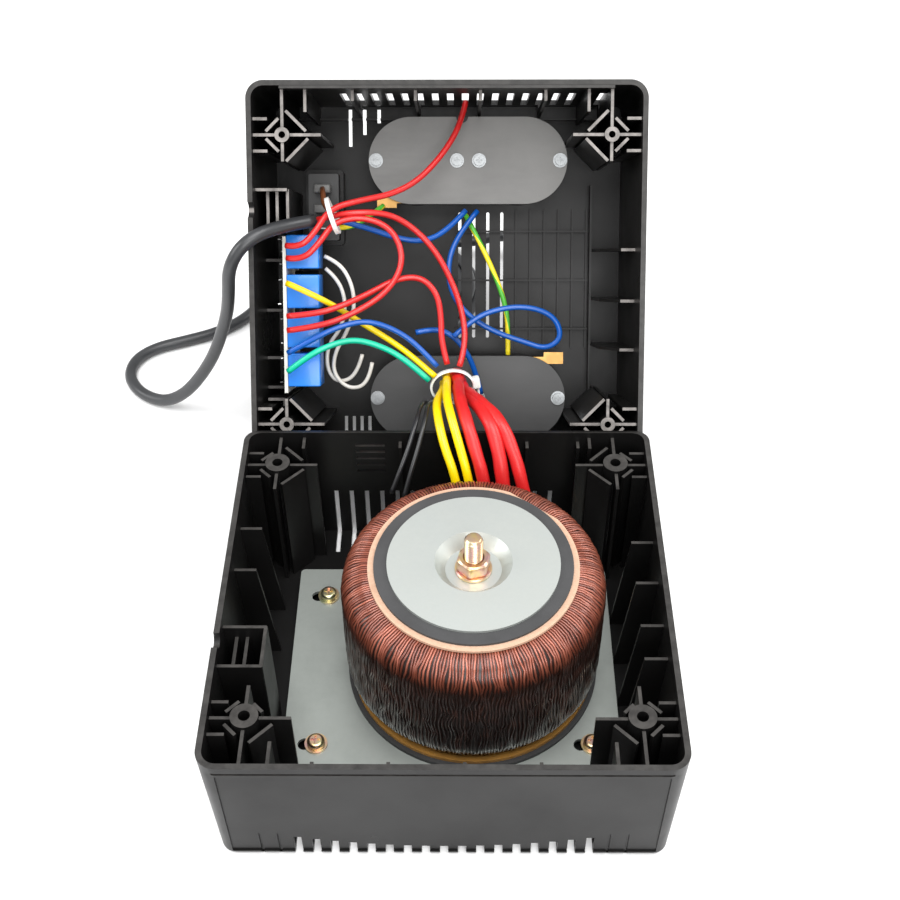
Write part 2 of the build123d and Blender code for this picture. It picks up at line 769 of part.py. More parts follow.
upper_outlet_carrier = outlet_carrier("upper_outlet_carrier", upper_outlet_y)
lower_outlet_carrier = outlet_carrier("lower_outlet_carrier", lower_outlet_y)
upper_outlet_plate = outlet_plate("upper_outlet_plate", upper_outlet_y)
lower_outlet_plate = outlet_plate("lower_outlet_plate", lower_outlet_y)
upper_outlet_contacts = outlet_contacts("upper_outlet_contacts", upper_outlet_y)
lower_outlet_contacts = outlet_contacts("lower_outlet_contacts", lower_outlet_y)
upper_earth_strip = earth_strip("upper_earth_strip", upper_outlet_y, -1, -41.5)
lower_earth_strip = earth_strip("lower_earth_strip", lower_outlet_y, 1, 44.5)

with BuildPart() as outlet_plate_screws:
    all_screws = outlet_screw_points(upper_outlet_y) + outlet_screw_points(lower_outlet_y)
    with BuildSketch(on_cover(outlet_plate_top + rest_clearance)):
        with Locations(*all_screws):
            Circle(outlet_screw_head_radius)
    extrude(amount=0.7)
    with BuildSketch(on_cover(outlet_plate_top + 0.5)):
        with Locations(*all_screws):
            Circle(outlet_screw_head_radius - 1.0)
    extrude(amount=1.7)
    with BuildSketch(on_cover(outlet_recess_depth + 0.4)):
        with Locations(*all_screws):
            Circle(outlet_screw_radius)
    extrude(amount=outlet_plate_top - outlet_recess_depth)
    with BuildSketch(on_cover(outlet_plate_top + 1.3)):
        with Locations(*all_screws):
            Rectangle(3.0, 0.7)
            Rectangle(0.7, 3.0)
    extrude(amount=2, mode=Mode.SUBTRACT)
outlet_plate_screws.part.label = "outlet_plate_screws"

# Relay board ----------------------------------------------------------------------------------------------
board_plane = Plane(
    origin=to_world((board_left, 0, 0)), x_dir=cover_plane.y_dir, z_dir=(1, 0, 0)
)
with BuildPart() as relay_board:
    with BuildSketch(board_plane):
        with Locations(((board_bottom + board_top) / 2, (board_low + board_high) / 2)):
            Rectangle(board_top - board_bottom, board_high - board_low)
    extrude(amount=board_thickness)
relay_board.part.label = "relay_board"

relay_centre_z = relay_top - relay_length / 2
relay_plane = board_plane.offset(board_thickness + rest_clearance)
relay_rows = [relay_first_y - index * relay_pitch for index in range(4)]
relay_cases = []
for index, y in enumerate(relay_rows, start=1):
    with BuildPart() as relay_case:
        with BuildSketch(relay_plane):
            with Locations((y, relay_centre_z)):
                Rectangle(relay_width, relay_length)
        extrude(amount=relay_reach)
        with BuildSketch(relay_plane):
            with Locations((y, relay_centre_z)):
                Rectangle(relay_width - 2 * relay_case_wall, relay_length - 2 * relay_case_wall)
        extrude(amount=relay_reach - relay_case_wall, mode=Mode.SUBTRACT)
    relay_case.part.label = f"relay_case_{index}"
    relay_cases.append(relay_case)
with BuildPart() as relay_coils:
    with BuildSketch(relay_plane.offset(0.3)):
        with Locations(*[(y, relay_centre_z) for y in relay_rows]):
            Rectangle(13.6, 16.4)
    extrude(amount=1.4)
    with BuildSketch(relay_plane.offset(1.5)):
        with Locations(*[(y + 1.6, relay_centre_z) for y in relay_rows]):
            Circle(4.2)
    extrude(amount=9.4)
relay_coils.part.label = "relay_coils"

with BuildPart() as board_components:
    with BuildSketch(relay_plane):
        with Locations((9, 25), (-2, 22)):
            Circle(5)
    extrude(amount=12.5)
    with BuildSketch(relay_plane):
        with Locations((-22, 24)):
            Rectangle(20, 8)
        with Locations((-45, 22)):
            Rectangle(12, 6)
    extrude(amount=4.2)
board_components.part.label = "board_components"

# Mains switch: body in the panel, rocker on the outside, three tabs at the back
with BuildPart() as switch_body_part:
    with BuildSketch(on_cover(rest_clearance + 0.6)):
        with Locations(switch_centre):
            RectangleRounded(switch_body[0], switch_body[1], 1)
    extrude(amount=switch_body_depth)
    with BuildSketch(on_cover(0)):
        with Locations(switch_centre):
            Rectangle(rocker_size[0] + 0.8, rocker_size[1] + 0.8)
    extrude(amount=9, mode=Mode.SUBTRACT)
    with BuildSketch(Plane(
        origin=to_world((switch_centre[0] - 7, 0, 0)), x_dir=cover_plane.y_dir, z_dir=(1, 0, 0)
    )):
        with Locations((switch_centre[1], 5.2)):
            Circle(rocker_pivot_radius + fit_clearance)
    extrude(amount=14, mode=Mode.SUBTRACT)
switch_body_part.part.label = "switch_body"

with BuildPart() as switch_rocker:
    rocker_plane = Plane(
        origin=to_world((switch_centre[0] - rocker_size[0] / 2, 0, 0)),
        x_dir=cover_plane.y_dir,
        z_dir=(1, 0, 0),
    )
    with BuildSketch(rocker_plane):
        with BuildLine():
            Polyline(
                (switch_centre[1] - rocker_size[1] / 2 + 0.8, 1.9),
                (switch_centre[1], 0.9),
                (switch_centre[1] + rocker_size[1] / 2 - 0.8, -0.9),
                (switch_centre[1] + rocker_size[1] / 2 - 0.8, 4.0),
                (switch_centre[1] + 3, 7.6),
                (switch_centre[1] - 3, 7.6),
                (switch_centre[1] - rocker_size[1] / 2 + 0.8, 5.4),
                close=True,
            )
        make_face()
    extrude(amount=rocker_size[0])
    with BuildSketch(rocker_plane.offset(-1.2)):
        with Locations((switch_centre[1], 5.2)):
            Circle(rocker_pivot_radius)
    extrude(amount=rocker_size[0] + 2.4)
switch_rocker.part.label = "switch_rocker"

switch_back = switch_body_depth + rest_clearance + 0.6
with BuildPart() as switch_tabs:
    with BuildSketch(on_cover(switch_back + rest_clearance)):
        with Locations(*[(switch_centre[0], switch_centre[1] + offset) for offset in (9, -1, -11)]):
            Rectangle(6.3, 0.8)
    extrude(amount=8)
switch_tabs.part.label = "switch_tabs"

# Cords: straight runs joined by arcs as large as the runs allow --------------------------------------------


def cord_tube(points, diameter, label):
    """One tube along a route of world points, with the radii and volume printed."""
    corners = [Vector(*point) for point in points]
    radii = []
    for before, at, after in zip(corners, corners[1:], corners[2:]):
        run_in = at - before
        run_out = after - at
        turn = radians(run_in.get_angle(run_out))
        radii.append(0.45 * min(run_in.length, run_out.length) / tan(turn / 2))
    with BuildLine() as line:
        FilletPolyline(*corners, radius=radii)
    path = line.wires()[0]
    with BuildPart() as tube:
        with BuildSketch(Plane(origin=path @ 0, z_dir=path % 0)):
            Circle(diameter / 2)
        sweep(path=path)
    expected = pi * diameter**2 / 4 * path.length
    print(
        f"{label}: length {path.length:.1f}, least radius {min(radii):.1f}, "
        f"radii {[round(value, 1) for value in radii]}, volume share {tube.part.volume / expected:.4f}"
    )
    return tube.part


def cover_route(points):
    return [tuple(to_world(point)) for point in points]


cover_wire_groups = {
    "switched_live_lead": (
        3.0,
        [
            [(-78, 15, 65), (-71, 14, 68), (-64, 21, 66), (-57, 33, 61), (-42, 37, 56), (-28, 40, 50),
             (-16, 46, 45), (-6, 56, 40), (2, 67, 36), (7, 78, 33), (9, 87, 27)],
        ],
    ),
    "board_link_lead": (
        3.0,
        [
            [(-78, 9, 63), (-70, 8, 66), (-62, 16, 65), (-55, 26.5, 61), (-41, 29, 58), (-28, 24, 57),
             (-22, 13, 59), (-23, 2, 61), (-31, -9, 64), (-46, -18, 67), (-62, -24, 68), (-78, -26, 65)],
        ],
    ),
    "switch_to_winding_lead": (
        3.0,
        [
            [(-69, 27, 36), (-68, 27, 46), (-60, 28.5, 55), (-47, 31, 60), (-30, 31, 55), (-18, 25, 50),
             (-6, 13, 48), (3, -4, 48), (8, -20, 50), (9, -34, 54)],
        ],
    ),
    "board_red_lead": (
        3.0,
        [
            [(-78, -19, 65), (-64, -18, 68), (-51, -14, 66), (-38, -8, 61), (-25, -1, 58), (-13, 0, 56),
             (-5, -8, 56), (-3, -20, 57), (-3, -32, 58)],
        ],
    ),
    "yellow_tap_lead": (
        3.0,
        [[(-78, -3, 65), (-66, -8, 69), (-54, -15, 60), (-42, -23, 56), (-27, -32, 56), (-15, -41, 58)]],
    ),
    "blue_tap_lead": (
        2.8,
        [[(-78, -37, 65), (-67, -31, 68), (-53, -24, 67.5), (-39, -21, 64), (-25, -26, 61), (-14, -34, 60)]],
    ),
    "green_tap_lead": (
        3.0,
        [[(-78, -46, 65), (-70, -40, 68), (-60, -34, 68), (-46, -30, 64), (-32, -34, 61), (-20, -41, 60)]],
    ),
    "live_core_lead": (
        2.8,
        [[(-61, 37, 47.5), (-62, 40.5, 42.5), (-62.8, 42.8, 37), (-63.4, 43.8, 31.5)]],
    ),
    "neutral_lead": (
        2.8,
        [[(-52, 27, 51), (-40, 24, 45), (-26, 19, 41), (-12, 17, 38), (0, 23, 33), (9, 33, 27)]],
    ),
    "outlet_neutral_lead": (
        2.8,
        [
            [(15, 33, 23), (6, 22, 28), (0, 8, 33), (1, -7, 36), (9, -19, 37), (23, -28, 36), (38, -33, 35),
             (50, -37, 37), (58, -31, 39), (54, -20, 41), (41, -15, 43), (26, -16, 43.5), (13, -21, 44),
             (3, -30, 46.5)],
            [(-16, -28, 46), (-7, -26, 44), (2, -29, 42), (9, -37, 40), (14, -48, 35), (17, -60, 31)],
        ],
    ),
    "earth_leads": (
        2.6,
        [
            [(9, 31, 19), (18, 14, 26), (26, -4, 28), (30, -17, 28), (31, -29, 26), (31, -40.5, 24.4)],
            [(-55, 24, 47), (-48, 24, 42), (-41, 29, 34), (-33, 35.5, 25)],
        ],
    ),
    "sensor_leads": (
        2.0,
        [
            [(-61, 10, 50), (-54, 7, 50), (-48, -2, 50), (-46, -14, 49), (-50, -27, 46), (-57, -38, 44),
             (-58, -49, 43), (-50, -57, 43), (-40, -54, 44), (-38, -43, 46)],
            [(-61, 4, 46), (-55, -1, 45), (-51, -12, 45), (-53, -25, 43), (-61, -35, 40.5), (-61.5, -47, 39),
             (-56, -54, 40), (-46, -50, 42), (-43, -39, 45)],
        ],
    ),
}
wire_groups = []
for label, (diameter, routes) in cover_wire_groups.items():
    with BuildPart() as wire_group:
        for number, route in enumerate(routes, start=1):
            add(cord_tube(cover_route(route), diameter, f"{label} {number}"))
    wire_group.part.label = label
    wire_groups.append(wire_group)

# Sleeved leads from the winding to the cover, over the back rim of the base
sleeve_groups = {
    "yellow_sleeves": [
        (4.2, [(-2.1, 138.3, 56.5), (-1.6, 130.8, 59.5), (-3.6, 119, 66), (-5, 106, 73), (-4, 92, 76),
               (-1, 80, 70), (4, 71, 60), (6, 67, 49)]),
        (4.2, [(-0.9, 139.9, 60.8), (-0.2, 132.4, 64), (-0.2, 119, 71.5), (0, 105, 77), (2, 92, 78.5),
               (6, 80, 71), (10, 71, 60), (12, 67, 49)]),
    ],
    "red_sleeves": [
        (6.0, [(4.5, 139.9, 60.5), (5.5, 132.4, 63.6), (5.4, 120, 69), (6.4, 106, 74.5), (9, 91, 77.5),
               (13, 80, 70), (17, 71, 60), (19, 67, 49)]),
        (7.0, [(4.3, 137.7, 54.6), (5.8, 130.4, 57.2), (11, 119, 64), (15, 104, 73.5), (21, 90, 78),
               (26, 80, 70), (30, 71, 60), (32, 67, 49)]),
    ],
    "thermal_leads": [
        (2.2, [(-7.5, 133, 50), (-8, 120, 60.5), (-9, 106, 72), (-10, 93, 75.5), (-13, 81, 69),
               (-17, 72, 60), (-20, 66, 50)]),
        (2.2, [(-11, 132, 49), (-11.5, 119.5, 61), (-12.5, 106, 71.5), (-14, 93.5, 74.5), (-17.5, 81.5, 68.5),
               (-22, 73, 60), (-26, 68, 51)]),
    ],
}
for label, routes in sleeve_groups.items():
    with BuildPart() as sleeve_group:
        for number, (diameter, route) in enumerate(routes, start=1):
            add(cord_tube(route, diameter, f"{label} {number}"))
    sleeve_group.part.label = label
    wire_groups.append(sleeve_group)

# Cable ties


def tie(label, centre, direction, radius, band):
    ring_plane = Plane(origin=centre, z_dir=direction)
    with BuildPart() as ring:
        with BuildSketch(ring_plane):
            Circle(radius + 1.0)
            Circle(radius, mode=Mode.SUBTRACT)
        extrude(amount=band / 2, both=True)
        with BuildSketch(ring_plane):
            with Locations((0, radius + 2.2)):
                Rectangle(5, 3.4)
        extrude(amount=2.4, both=True)
    ring.part.label = label
    return ring


cord_tie = tie(
    "cord_tie", to_world((-56, 29.4, 59.4)), cover_plane.x_dir * 0.92 + cover_plane.y_dir * 0.3, 8.6, 2.6
)
harness_tie = tie("harness_tie", (2.5, 131.5, 60.5), Vector(0.1, -0.92, 0.38), 9.6, 3.0)

# Mains cord: from the cord tie over the left wall, down to the floor and round behind the cover
coil_low = 0.2
coil_outer = coil_mean_radius + cord_diameter * coil_turns_across / 2
coil_inner = coil_mean_radius - cord_diameter * coil_turns_across / 2
coil_height = cord_diameter * coil_layers
cord_floor = cord_diameter / 2 + coil_low
cord_inside = [
    (-65, 27, 61), (-73, 25.5, 67.5), (-82, 23, 73.8), (-91, 19.5, 78.2), (-99, 13, 79),
    (-104.5, 3.5, 75),
]
cord_outside = [
    (-107, 155.5, 101.5), (-110, 160.5, 85.5), (-115, 165, 69), (-122, 168, 50), (-131, 171, 33),
    (-142, 174, 17), (-154, 178, cord_floor + 3), (-165, 183, cord_floor), (-175, 191, cord_floor),
    (-181, 203, cord_floor), (-179, 216, cord_floor), (-169, 226, cord_floor),
    (-153, 232, cord_floor), (-136, 239, cord_floor), (-122, 250, cord_floor),
    (-112, 266, cord_floor), (-102, 284, cord_floor), (-89, 301, cord_floor),
    (-74, 314.5, cord_floor), (-55, 324.2, cord_floor),
    (coil_centre[0] - 2, coil_centre[1] + coil_outer + cord_diameter / 2 + 0.1, cord_floor),
]
cord_points = cover_route(cord_inside) + cord_outside
with BuildPart() as mains_cord:
    add(cord_tube(cord_points, cord_diameter, "mains_cord"))
mains_cord.part.label = "mains_cord"

with BuildPart() as mains_cord_coil:
    with BuildSketch(Plane.XY.offset(coil_low)):
        with Locations(coil_centre):
            Circle(coil_outer)
            Circle(coil_inner, mode=Mode.SUBTRACT)
    extrude(amount=coil_height)
    fillet(mains_cord_coil.edges(), cord_diameter / 2 - 0.3)
mains_cord_coil.part.label = "mains_cord_coil"

plug_x = 79.0
plug_y = 312.0
plug_shoulder = plug_length * 0.45
plug_tail = 26.0
plug_face = plug_length - plug_shoulder
plug_plane = Plane(origin=(plug_x, plug_y, plug_radius + coil_low), x_dir=(0, 1, 0), z_dir=(1, 0, 0))
with BuildPart() as mains_plug:
    with BuildSketch(plug_plane):
        Circle(plug_radius)
    extrude(amount=plug_face)
    with BuildSketch(plug_plane):
        Circle(plug_radius)
    extrude(amount=-plug_shoulder, taper=28)
    with BuildSketch(plug_plane.offset(1 - plug_shoulder)):
        Circle(6.0)
    extrude(amount=-plug_tail, taper=5)
    with BuildSketch(plug_plane.offset(plug_face - 14)):
        with Locations((0, plug_radius), (0, -plug_radius)):
            Rectangle(6, 5)
    extrude(amount=20, mode=Mode.SUBTRACT)
mains_plug.part.label = "mains_plug"

with BuildPart() as plug_pins:
    with BuildSketch(plug_plane.offset(plug_face + rest_clearance)):
        with Locations((-pin_spacing / 2, 0), (pin_spacing / 2, 0)):
            Circle(pin_radius)
    extrude(amount=19)
    fillet(plug_pins.edges().group_by(Axis.X)[-1], 1.6)
plug_pins.part.label = "plug_pins"

# The tail from the plug back to the coil
plug_tail_x = plug_x + 1 - plug_shoulder - plug_tail - rest_clearance
tail_reach = coil_outer + cord_diameter / 2 + 0.1
plug_tail_route = [
    (plug_tail_x, plug_y, plug_radius + coil_low),
    (plug_tail_x - 9, plug_y, plug_radius + coil_low),
    (19, plug_y + 1.5, 15),
    (9, plug_y + 4.5, 10.5),
    (-1, plug_y + 7.5, 8.8),
    (coil_centre[0] + tail_reach * sin(radians(22)), coil_centre[1] + tail_reach * cos(radians(22)), 9.6),
]
with BuildPart() as plug_lead:
    add(cord_tube(plug_tail_route, cord_diameter, "plug_lead"))
plug_lead.part.label = "plug_lead"

all_parts = [
    base_shell, transformer_plate, plate_washers, plate_screws, lower_rubber_pad, lower_insulating_ring,
    toroid_core, toroid_winding, upper_insulating_ring, upper_rubber_pad, clamp_dish, clamp_washer,
    clamp_nut, centre_bolt, cover_shell, upper_outlet_carrier, lower_outlet_carrier, upper_outlet_plate,
    lower_outlet_plate, upper_outlet_contacts, lower_outlet_contacts, upper_earth_strip,
    lower_earth_strip, outlet_plate_screws, relay_board, relay_coils, board_components,
    switch_body_part, switch_rocker, switch_tabs, cord_tie, harness_tie, mains_cord, mains_cord_coil,
    mains_plug, plug_pins, plug_lead, *relay_cases, *wire_groups,
]
for piece in all_parts:
    export_step(piece.part, f"parts/{piece.part.label}.step")
print(f"fold axis y {fold_y:.3f} z {fold_z:.3f}, turn {fold_angle:.2f}")
print(f"cover centre {cover_y:.3f} {cover_z:.3f}")
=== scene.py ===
import math
import random
import bmesh
import bpy
from mathutils import Matrix, Vector


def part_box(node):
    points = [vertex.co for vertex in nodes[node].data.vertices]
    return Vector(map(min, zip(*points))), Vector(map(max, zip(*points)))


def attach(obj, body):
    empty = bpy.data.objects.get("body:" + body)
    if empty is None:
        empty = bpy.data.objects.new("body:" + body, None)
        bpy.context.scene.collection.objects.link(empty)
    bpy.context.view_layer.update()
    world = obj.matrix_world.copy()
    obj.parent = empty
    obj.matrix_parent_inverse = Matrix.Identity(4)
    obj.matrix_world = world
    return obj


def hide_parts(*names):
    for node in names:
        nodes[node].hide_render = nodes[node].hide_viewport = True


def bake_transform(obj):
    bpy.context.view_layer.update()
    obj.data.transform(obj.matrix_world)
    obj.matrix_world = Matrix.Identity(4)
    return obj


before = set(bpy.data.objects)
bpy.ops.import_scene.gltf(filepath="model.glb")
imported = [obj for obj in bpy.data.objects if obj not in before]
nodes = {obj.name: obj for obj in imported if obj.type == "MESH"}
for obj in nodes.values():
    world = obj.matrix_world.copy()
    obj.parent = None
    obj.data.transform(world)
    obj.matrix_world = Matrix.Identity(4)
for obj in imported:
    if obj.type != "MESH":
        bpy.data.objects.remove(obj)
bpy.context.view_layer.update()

mm = 0.001
scene = bpy.context.scene
print("frame loaded:", len(nodes), "nodes")

# The open cover's own frame: X as the base's, Y up its panel, Z out of its open side
coverFrame = {"lean": 37.6, "origin": (0.0, 208.413, 69.703)}
lean = math.radians(coverFrame["lean"])
coverX = Vector((1, 0, 0))
coverY = Vector((0, math.sin(lean), math.cos(lean)))
coverZ = Vector((0, -math.cos(lean), math.sin(lean)))
coverOrigin = Vector(coverFrame["origin"]) * mm


def coverPoint(point):
    x, y, z = point
    return coverOrigin + (coverX * x + coverY * y + coverZ * z) * mm


def worldPoint(point):
    return Vector(point) * mm


# camera, floor and light
view = {
    "place": (0.0075, -0.36853, 0.52318),
    "turn": (44.56, 0.344, 0.395),
    "lens": 54.712,
    "sensor": 36.0,
}
camera = bpy.data.objects.new("camera", bpy.data.cameras.new("camera"))
scene.collection.objects.link(camera)
camera.location = view["place"]
camera.rotation_euler = [math.radians(angle) for angle in view["turn"]]
camera.data.lens = view["lens"]
camera.data.sensor_width = view["sensor"]
camera.data.clip_start = 0.01
scene.camera = camera
scene.view_settings.view_transform = "Standard"

studio = {
    "skyStrength": 0.75,
    "floorSize": 6.0,
    "lamps": [
        ("topSoftbox", (0.05, -0.25, 1.25), (0.0, 0.1, 0.0), 0.9, 15.0),
        ("frontSoftbox", (0.25, -1.1, 0.75), (0.0, 0.05, 0.05), 0.7, 9.0),
        ("leftSoftbox", (-1.0, 0.0, 0.7), (0.0, 0.05, 0.05), 0.6, 6.0),
        ("rightSoftbox", (1.0, 0.25, 0.8), (0.0, 0.05, 0.05), 0.6, 6.0),
    ],
}


def makeStudio():
    sky = bpy.data.worlds.new("studioSky")
    sky.use_nodes = True
    sky.node_tree.nodes["Background"].inputs["Color"].default_value = (1, 1, 1, 1)
    sky.node_tree.nodes["Background"].inputs["Strength"].default_value = studio["skyStrength"]
    scene.world = sky
    for name, place, target, size, power in studio["lamps"]:
        lamp = bpy.data.lights.new(name, "AREA")
        lamp.size = size
        lamp.energy = power
        holder = bpy.data.objects.new(name, lamp)
        holder.location = place
        aim = Vector(target) - Vector(place)
        holder.rotation_euler = aim.to_track_quat("-Z", "Y").to_euler()
        scene.collection.objects.link(holder)
    half = studio["floorSize"] / 2
    corners = [(-half, -half, 0), (half, -half, 0), (half, half, 0), (-half, half, 0)]
    floorMesh = bpy.data.meshes.new("floor")
    floorMesh.from_pydata(corners, [], [(0, 1, 2, 3)])
    floor = bpy.data.objects.new("floor", floorMesh)
    scene.collection.objects.link(floor)
    floor.data.materials.append(paleFloor())


# materials
def newMaterial(name, colour, roughness, metallic=0.0, **extra):
    material = bpy.data.materials.new(name)
    material.use_nodes = True
    shader = material.node_tree.nodes["Principled BSDF"]
    shader.inputs["Base Color"].default_value = (*colour, 1)
    shader.inputs["Roughness"].default_value = roughness
    shader.inputs["Metallic"].default_value = metallic
    for socket, value in extra.items():
        shader.inputs[socket.replace("_", " ")].default_value = value
    return material


def addNode(material, kind, **settings):
    node = material.node_tree.nodes.new(kind)
    for key, value in settings.items():
        setattr(node, key, value)
    return node


def join(material, source, target):
    material.node_tree.links.new(source, target)


def shaderOf(material):
    return material.node_tree.nodes["Principled BSDF"]


def objectPlace(material, stretch=(1, 1, 1)):
    place = addNode(material, "ShaderNodeTexCoord")
    mapping = addNode(material, "ShaderNodeMapping")
    mapping.inputs["Scale"].default_value = stretch
    join(material, place.outputs["Object"], mapping.inputs["Vector"])
    return mapping.outputs["Vector"]


def noiseAt(material, place, scale, detail=3.0, roughness=0.55):
    noise = addNode(material, "ShaderNodeTexNoise")
    noise.inputs["Scale"].default_value = scale
    noise.inputs["Detail"].default_value = detail
    noise.inputs["Roughness"].default_value = roughness
    join(material, place, noise.inputs["Vector"])
    return noise.outputs["Fac"]


def rangeOf(material, value, low, high, newLow=0.0, newHigh=1.0):
    remap = addNode(material, "ShaderNodeMapRange")
    for socket, number in (
        ("From Min", low), ("From Max", high), ("To Min", newLow), ("To Max", newHigh)
    ):
        remap.inputs[socket].default_value = number
    join(material, value, remap.inputs["Value"])
    return remap.outputs["Result"]


def mixed(material, share, first, second):
    mix = addNode(material, "ShaderNodeMix", data_type="RGBA")
    join(material, share, mix.inputs["Factor"])
    for socket, colour in ((mix.inputs["A"], first), (mix.inputs["B"], second)):
        if isinstance(colour, tuple):
            socket.default_value = (*colour, 1)
        else:
            join(material, colour, socket)
    return mix.outputs["Result"]


def mathOf(material, operation, first, second=None):
    node = addNode(material, "ShaderNodeMath", operation=operation)
    for socket, value in zip(node.inputs, (first, second)):
        if value is None:
            continue
        if isinstance(value, (int, float)):
            socket.default_value = value
        else:
            join(material, value, socket)
    return node.outputs["Value"]


def addBump(material, height, strength, distance):
    bump = addNode(material, "ShaderNodeBump")
    bump.inputs["Strength"].default_value = strength
    bump.inputs["Distance"].default_value = distance
    join(material, height, bump.inputs["Height"])
    join(material, bump.outputs["Normal"], shaderOf(material).inputs["Normal"])


def tinted(material, share, first, second):
    join(material, mixed(material, share, first, second), shaderOf(material).inputs["Base Color"])


def grained(name, colour, roughness, grain, patch, metallic=0.0, stretch=(1, 1, 1), **extra):
    # grain: (scale, strength, distance); patch: (scale, darker share, roughness swing)
    material = newMaterial(name, colour, roughness, metallic, **extra)
    place = objectPlace(material, stretch)
    addBump(material, noiseAt(material, place, grain[0], 4), grain[1], grain[2])
    clouds = noiseAt(material, place, patch[0], 5, 0.6)
    darker = tuple(channel * patch[1] for channel in colour)
    tinted(material, rangeOf(material, clouds, 0.35, 0.7), colour, darker)
    swing = rangeOf(material, clouds, 0.3, 0.7, roughness - patch[2], roughness + patch[2])
    join(material, swing, shaderOf(material).inputs["Roughness"])
    return material


def paleFloor():
    return grained("floorPaper", (0.92, 0.92, 0.92), 0.8, (300, 0.05, 0.0002), (3, 0.985, 0.05))


caseLook = {
    "baseColour": (0.005, 0.0048, 0.0047),
    "coverColour": (0.0085, 0.0082, 0.008),
    # rib and rim top colours: painted highlight on the up-facing tops
    "ribTopHighlight": (0.05, 0.047, 0.044),
    "coverRibTopHighlight": (0.27, 0.25, 0.235),
    "rimTopHighlight": (0.045, 0.043, 0.041),
    "roughness": 0.34,
    "specular": 0.22,
}


def casePlastic(name, colour, ribTopHighlight, up, heights):
    # Moulded plastic; the flat tops that face up, out of the open side, get a painted highlight (rib and rim
    # tops), broken up by scuff noise; random dust patches are greyer
    material = newMaterial(
        name, colour, caseLook["roughness"], 0.0, Specular_IOR_Level=caseLook["specular"]
    )
    place = objectPlace(material)
    coords = addNode(material, "ShaderNodeTexCoord")
    facing = addNode(material, "ShaderNodeVectorMath", operation="DOT_PRODUCT")
    join(material, coords.outputs["Normal"], facing.inputs[0])
    facing.inputs[1].default_value = up
    level = addNode(material, "ShaderNodeVectorMath", operation="DOT_PRODUCT")
    join(material, coords.outputs["Object"], level.inputs[0])
    level.inputs[1].default_value = up
    flat = rangeOf(material, facing.outputs["Value"], 0.93, 0.99)
    high = rangeOf(material, level.outputs["Value"], heights[0], heights[1])
    rim = rangeOf(material, level.outputs["Value"], heights[2], heights[3])
    scuffs = rangeOf(material, noiseAt(material, place, 160, 6, 0.7), 0.3, 0.62, 0.35, 1.0)
    # painted highlight share: up-facing flat faces high on the part, broken up by scuff noise
    edge = mathOf(material, "MULTIPLY", mathOf(material, "MULTIPLY", flat, high), scuffs)
    dust = rangeOf(material, noiseAt(material, place, 14, 6, 0.6), 0.4, 0.75)
    greyer = tuple(channel * 1.55 for channel in colour)
    join(
        material,
        mixed(
            material, edge, mixed(material, dust, colour, greyer),
            mixed(material, rim, ribTopHighlight, caseLook["rimTopHighlight"]),
        ),
        shaderOf(material).inputs["Base Color"],
    )
    swing = rangeOf(material, noiseAt(material, place, 22, 5), 0.3, 0.7, 0.27, 0.45)
    join(material, swing, shaderOf(material).inputs["Roughness"])
    addBump(material, noiseAt(material, place, 1500, 3), 0.12, 0.00012)
    return material


def windingCopper():
    # Enamelled wire: red where it turns over the top; darker down the side, a painted shade together with pooled
    # dark varnish
    material = newMaterial(
        "windingCopper", (0.3, 0.09, 0.055), 0.3, 0.35, Coat_Weight=0.6, Coat_Roughness=0.12
    )
    coords = addNode(material, "ShaderNodeTexCoord")
    parts = addNode(material, "ShaderNodeSeparateXYZ")
    join(material, coords.outputs["Object"], parts.inputs["Vector"])
    place = coords.outputs["Object"]
    tone = addNode(material, "ShaderNodeAttribute", attribute_name="turnTone")
    spots = noiseAt(material, place, 140, 4)
    rim = windingSizes["top"] * mm
    high = rangeOf(material, parts.outputs["Z"], rim - 0.0125, rim - 0.005)
    # side colour: painted shade plus pooled varnish, below the top rounding
    sideShadeAndVarnish = mixed(
        material, rangeOf(material, spots, 0.42, 0.68), (0.022, 0.0095, 0.007), (0.07, 0.027, 0.018)
    )
    bright = mixed(material, tone.outputs["Fac"], (0.15, 0.036, 0.02), (0.36, 0.105, 0.062))
    join(material, mixed(material, high, sideShadeAndVarnish, bright), shaderOf(material).inputs["Base Color"])
    addBump(material, noiseAt(material, place, 900, 2), 0.15, 0.0001)
    return material


def earthStripes():
    # Green wire with a yellow stripe running round it, along its own length
    material = newMaterial("earthStripes", (0.2, 0.5, 0.05), 0.35)
    coords = addNode(material, "ShaderNodeTexCoord")
    parts = addNode(material, "ShaderNodeSeparateXYZ")
    join(material, coords.outputs["UV"], parts.inputs["Vector"])
    twist = mathOf(material, "MULTIPLY", parts.outputs["X"], 22.0)
    turn = mathOf(material, "FRACT", mathOf(material, "ADD", parts.outputs["Y"], twist))
    side = mathOf(material, "GREATER_THAN", turn, 0.52)
    tinted(material, side, (0.85, 0.68, 0.02), (0.08, 0.42, 0.04))
    addBump(material, noiseAt(material, objectPlace(material), 700, 2), 0.1, 0.0001)
    return material


def yellowZinc():
    material = newMaterial("yellowZinc", (0.72, 0.52, 0.26), 0.28, 1.0)
    place = objectPlace(material)
    clouds = noiseAt(material, place, 210, 4)
    warm = mixed(
        material, rangeOf(material, clouds, 0.35, 0.65), (0.75, 0.55, 0.26), (0.62, 0.38, 0.36)
    )
    cool = rangeOf(material, noiseAt(material, place, 90, 3), 0.5, 0.7)
    join(
        material, mixed(material, cool, warm, (0.62, 0.66, 0.4)), shaderOf(material).inputs["Base Color"]
    )
    addBump(material, noiseAt(material, place, 1200, 3), 0.12, 0.0001)
    return material


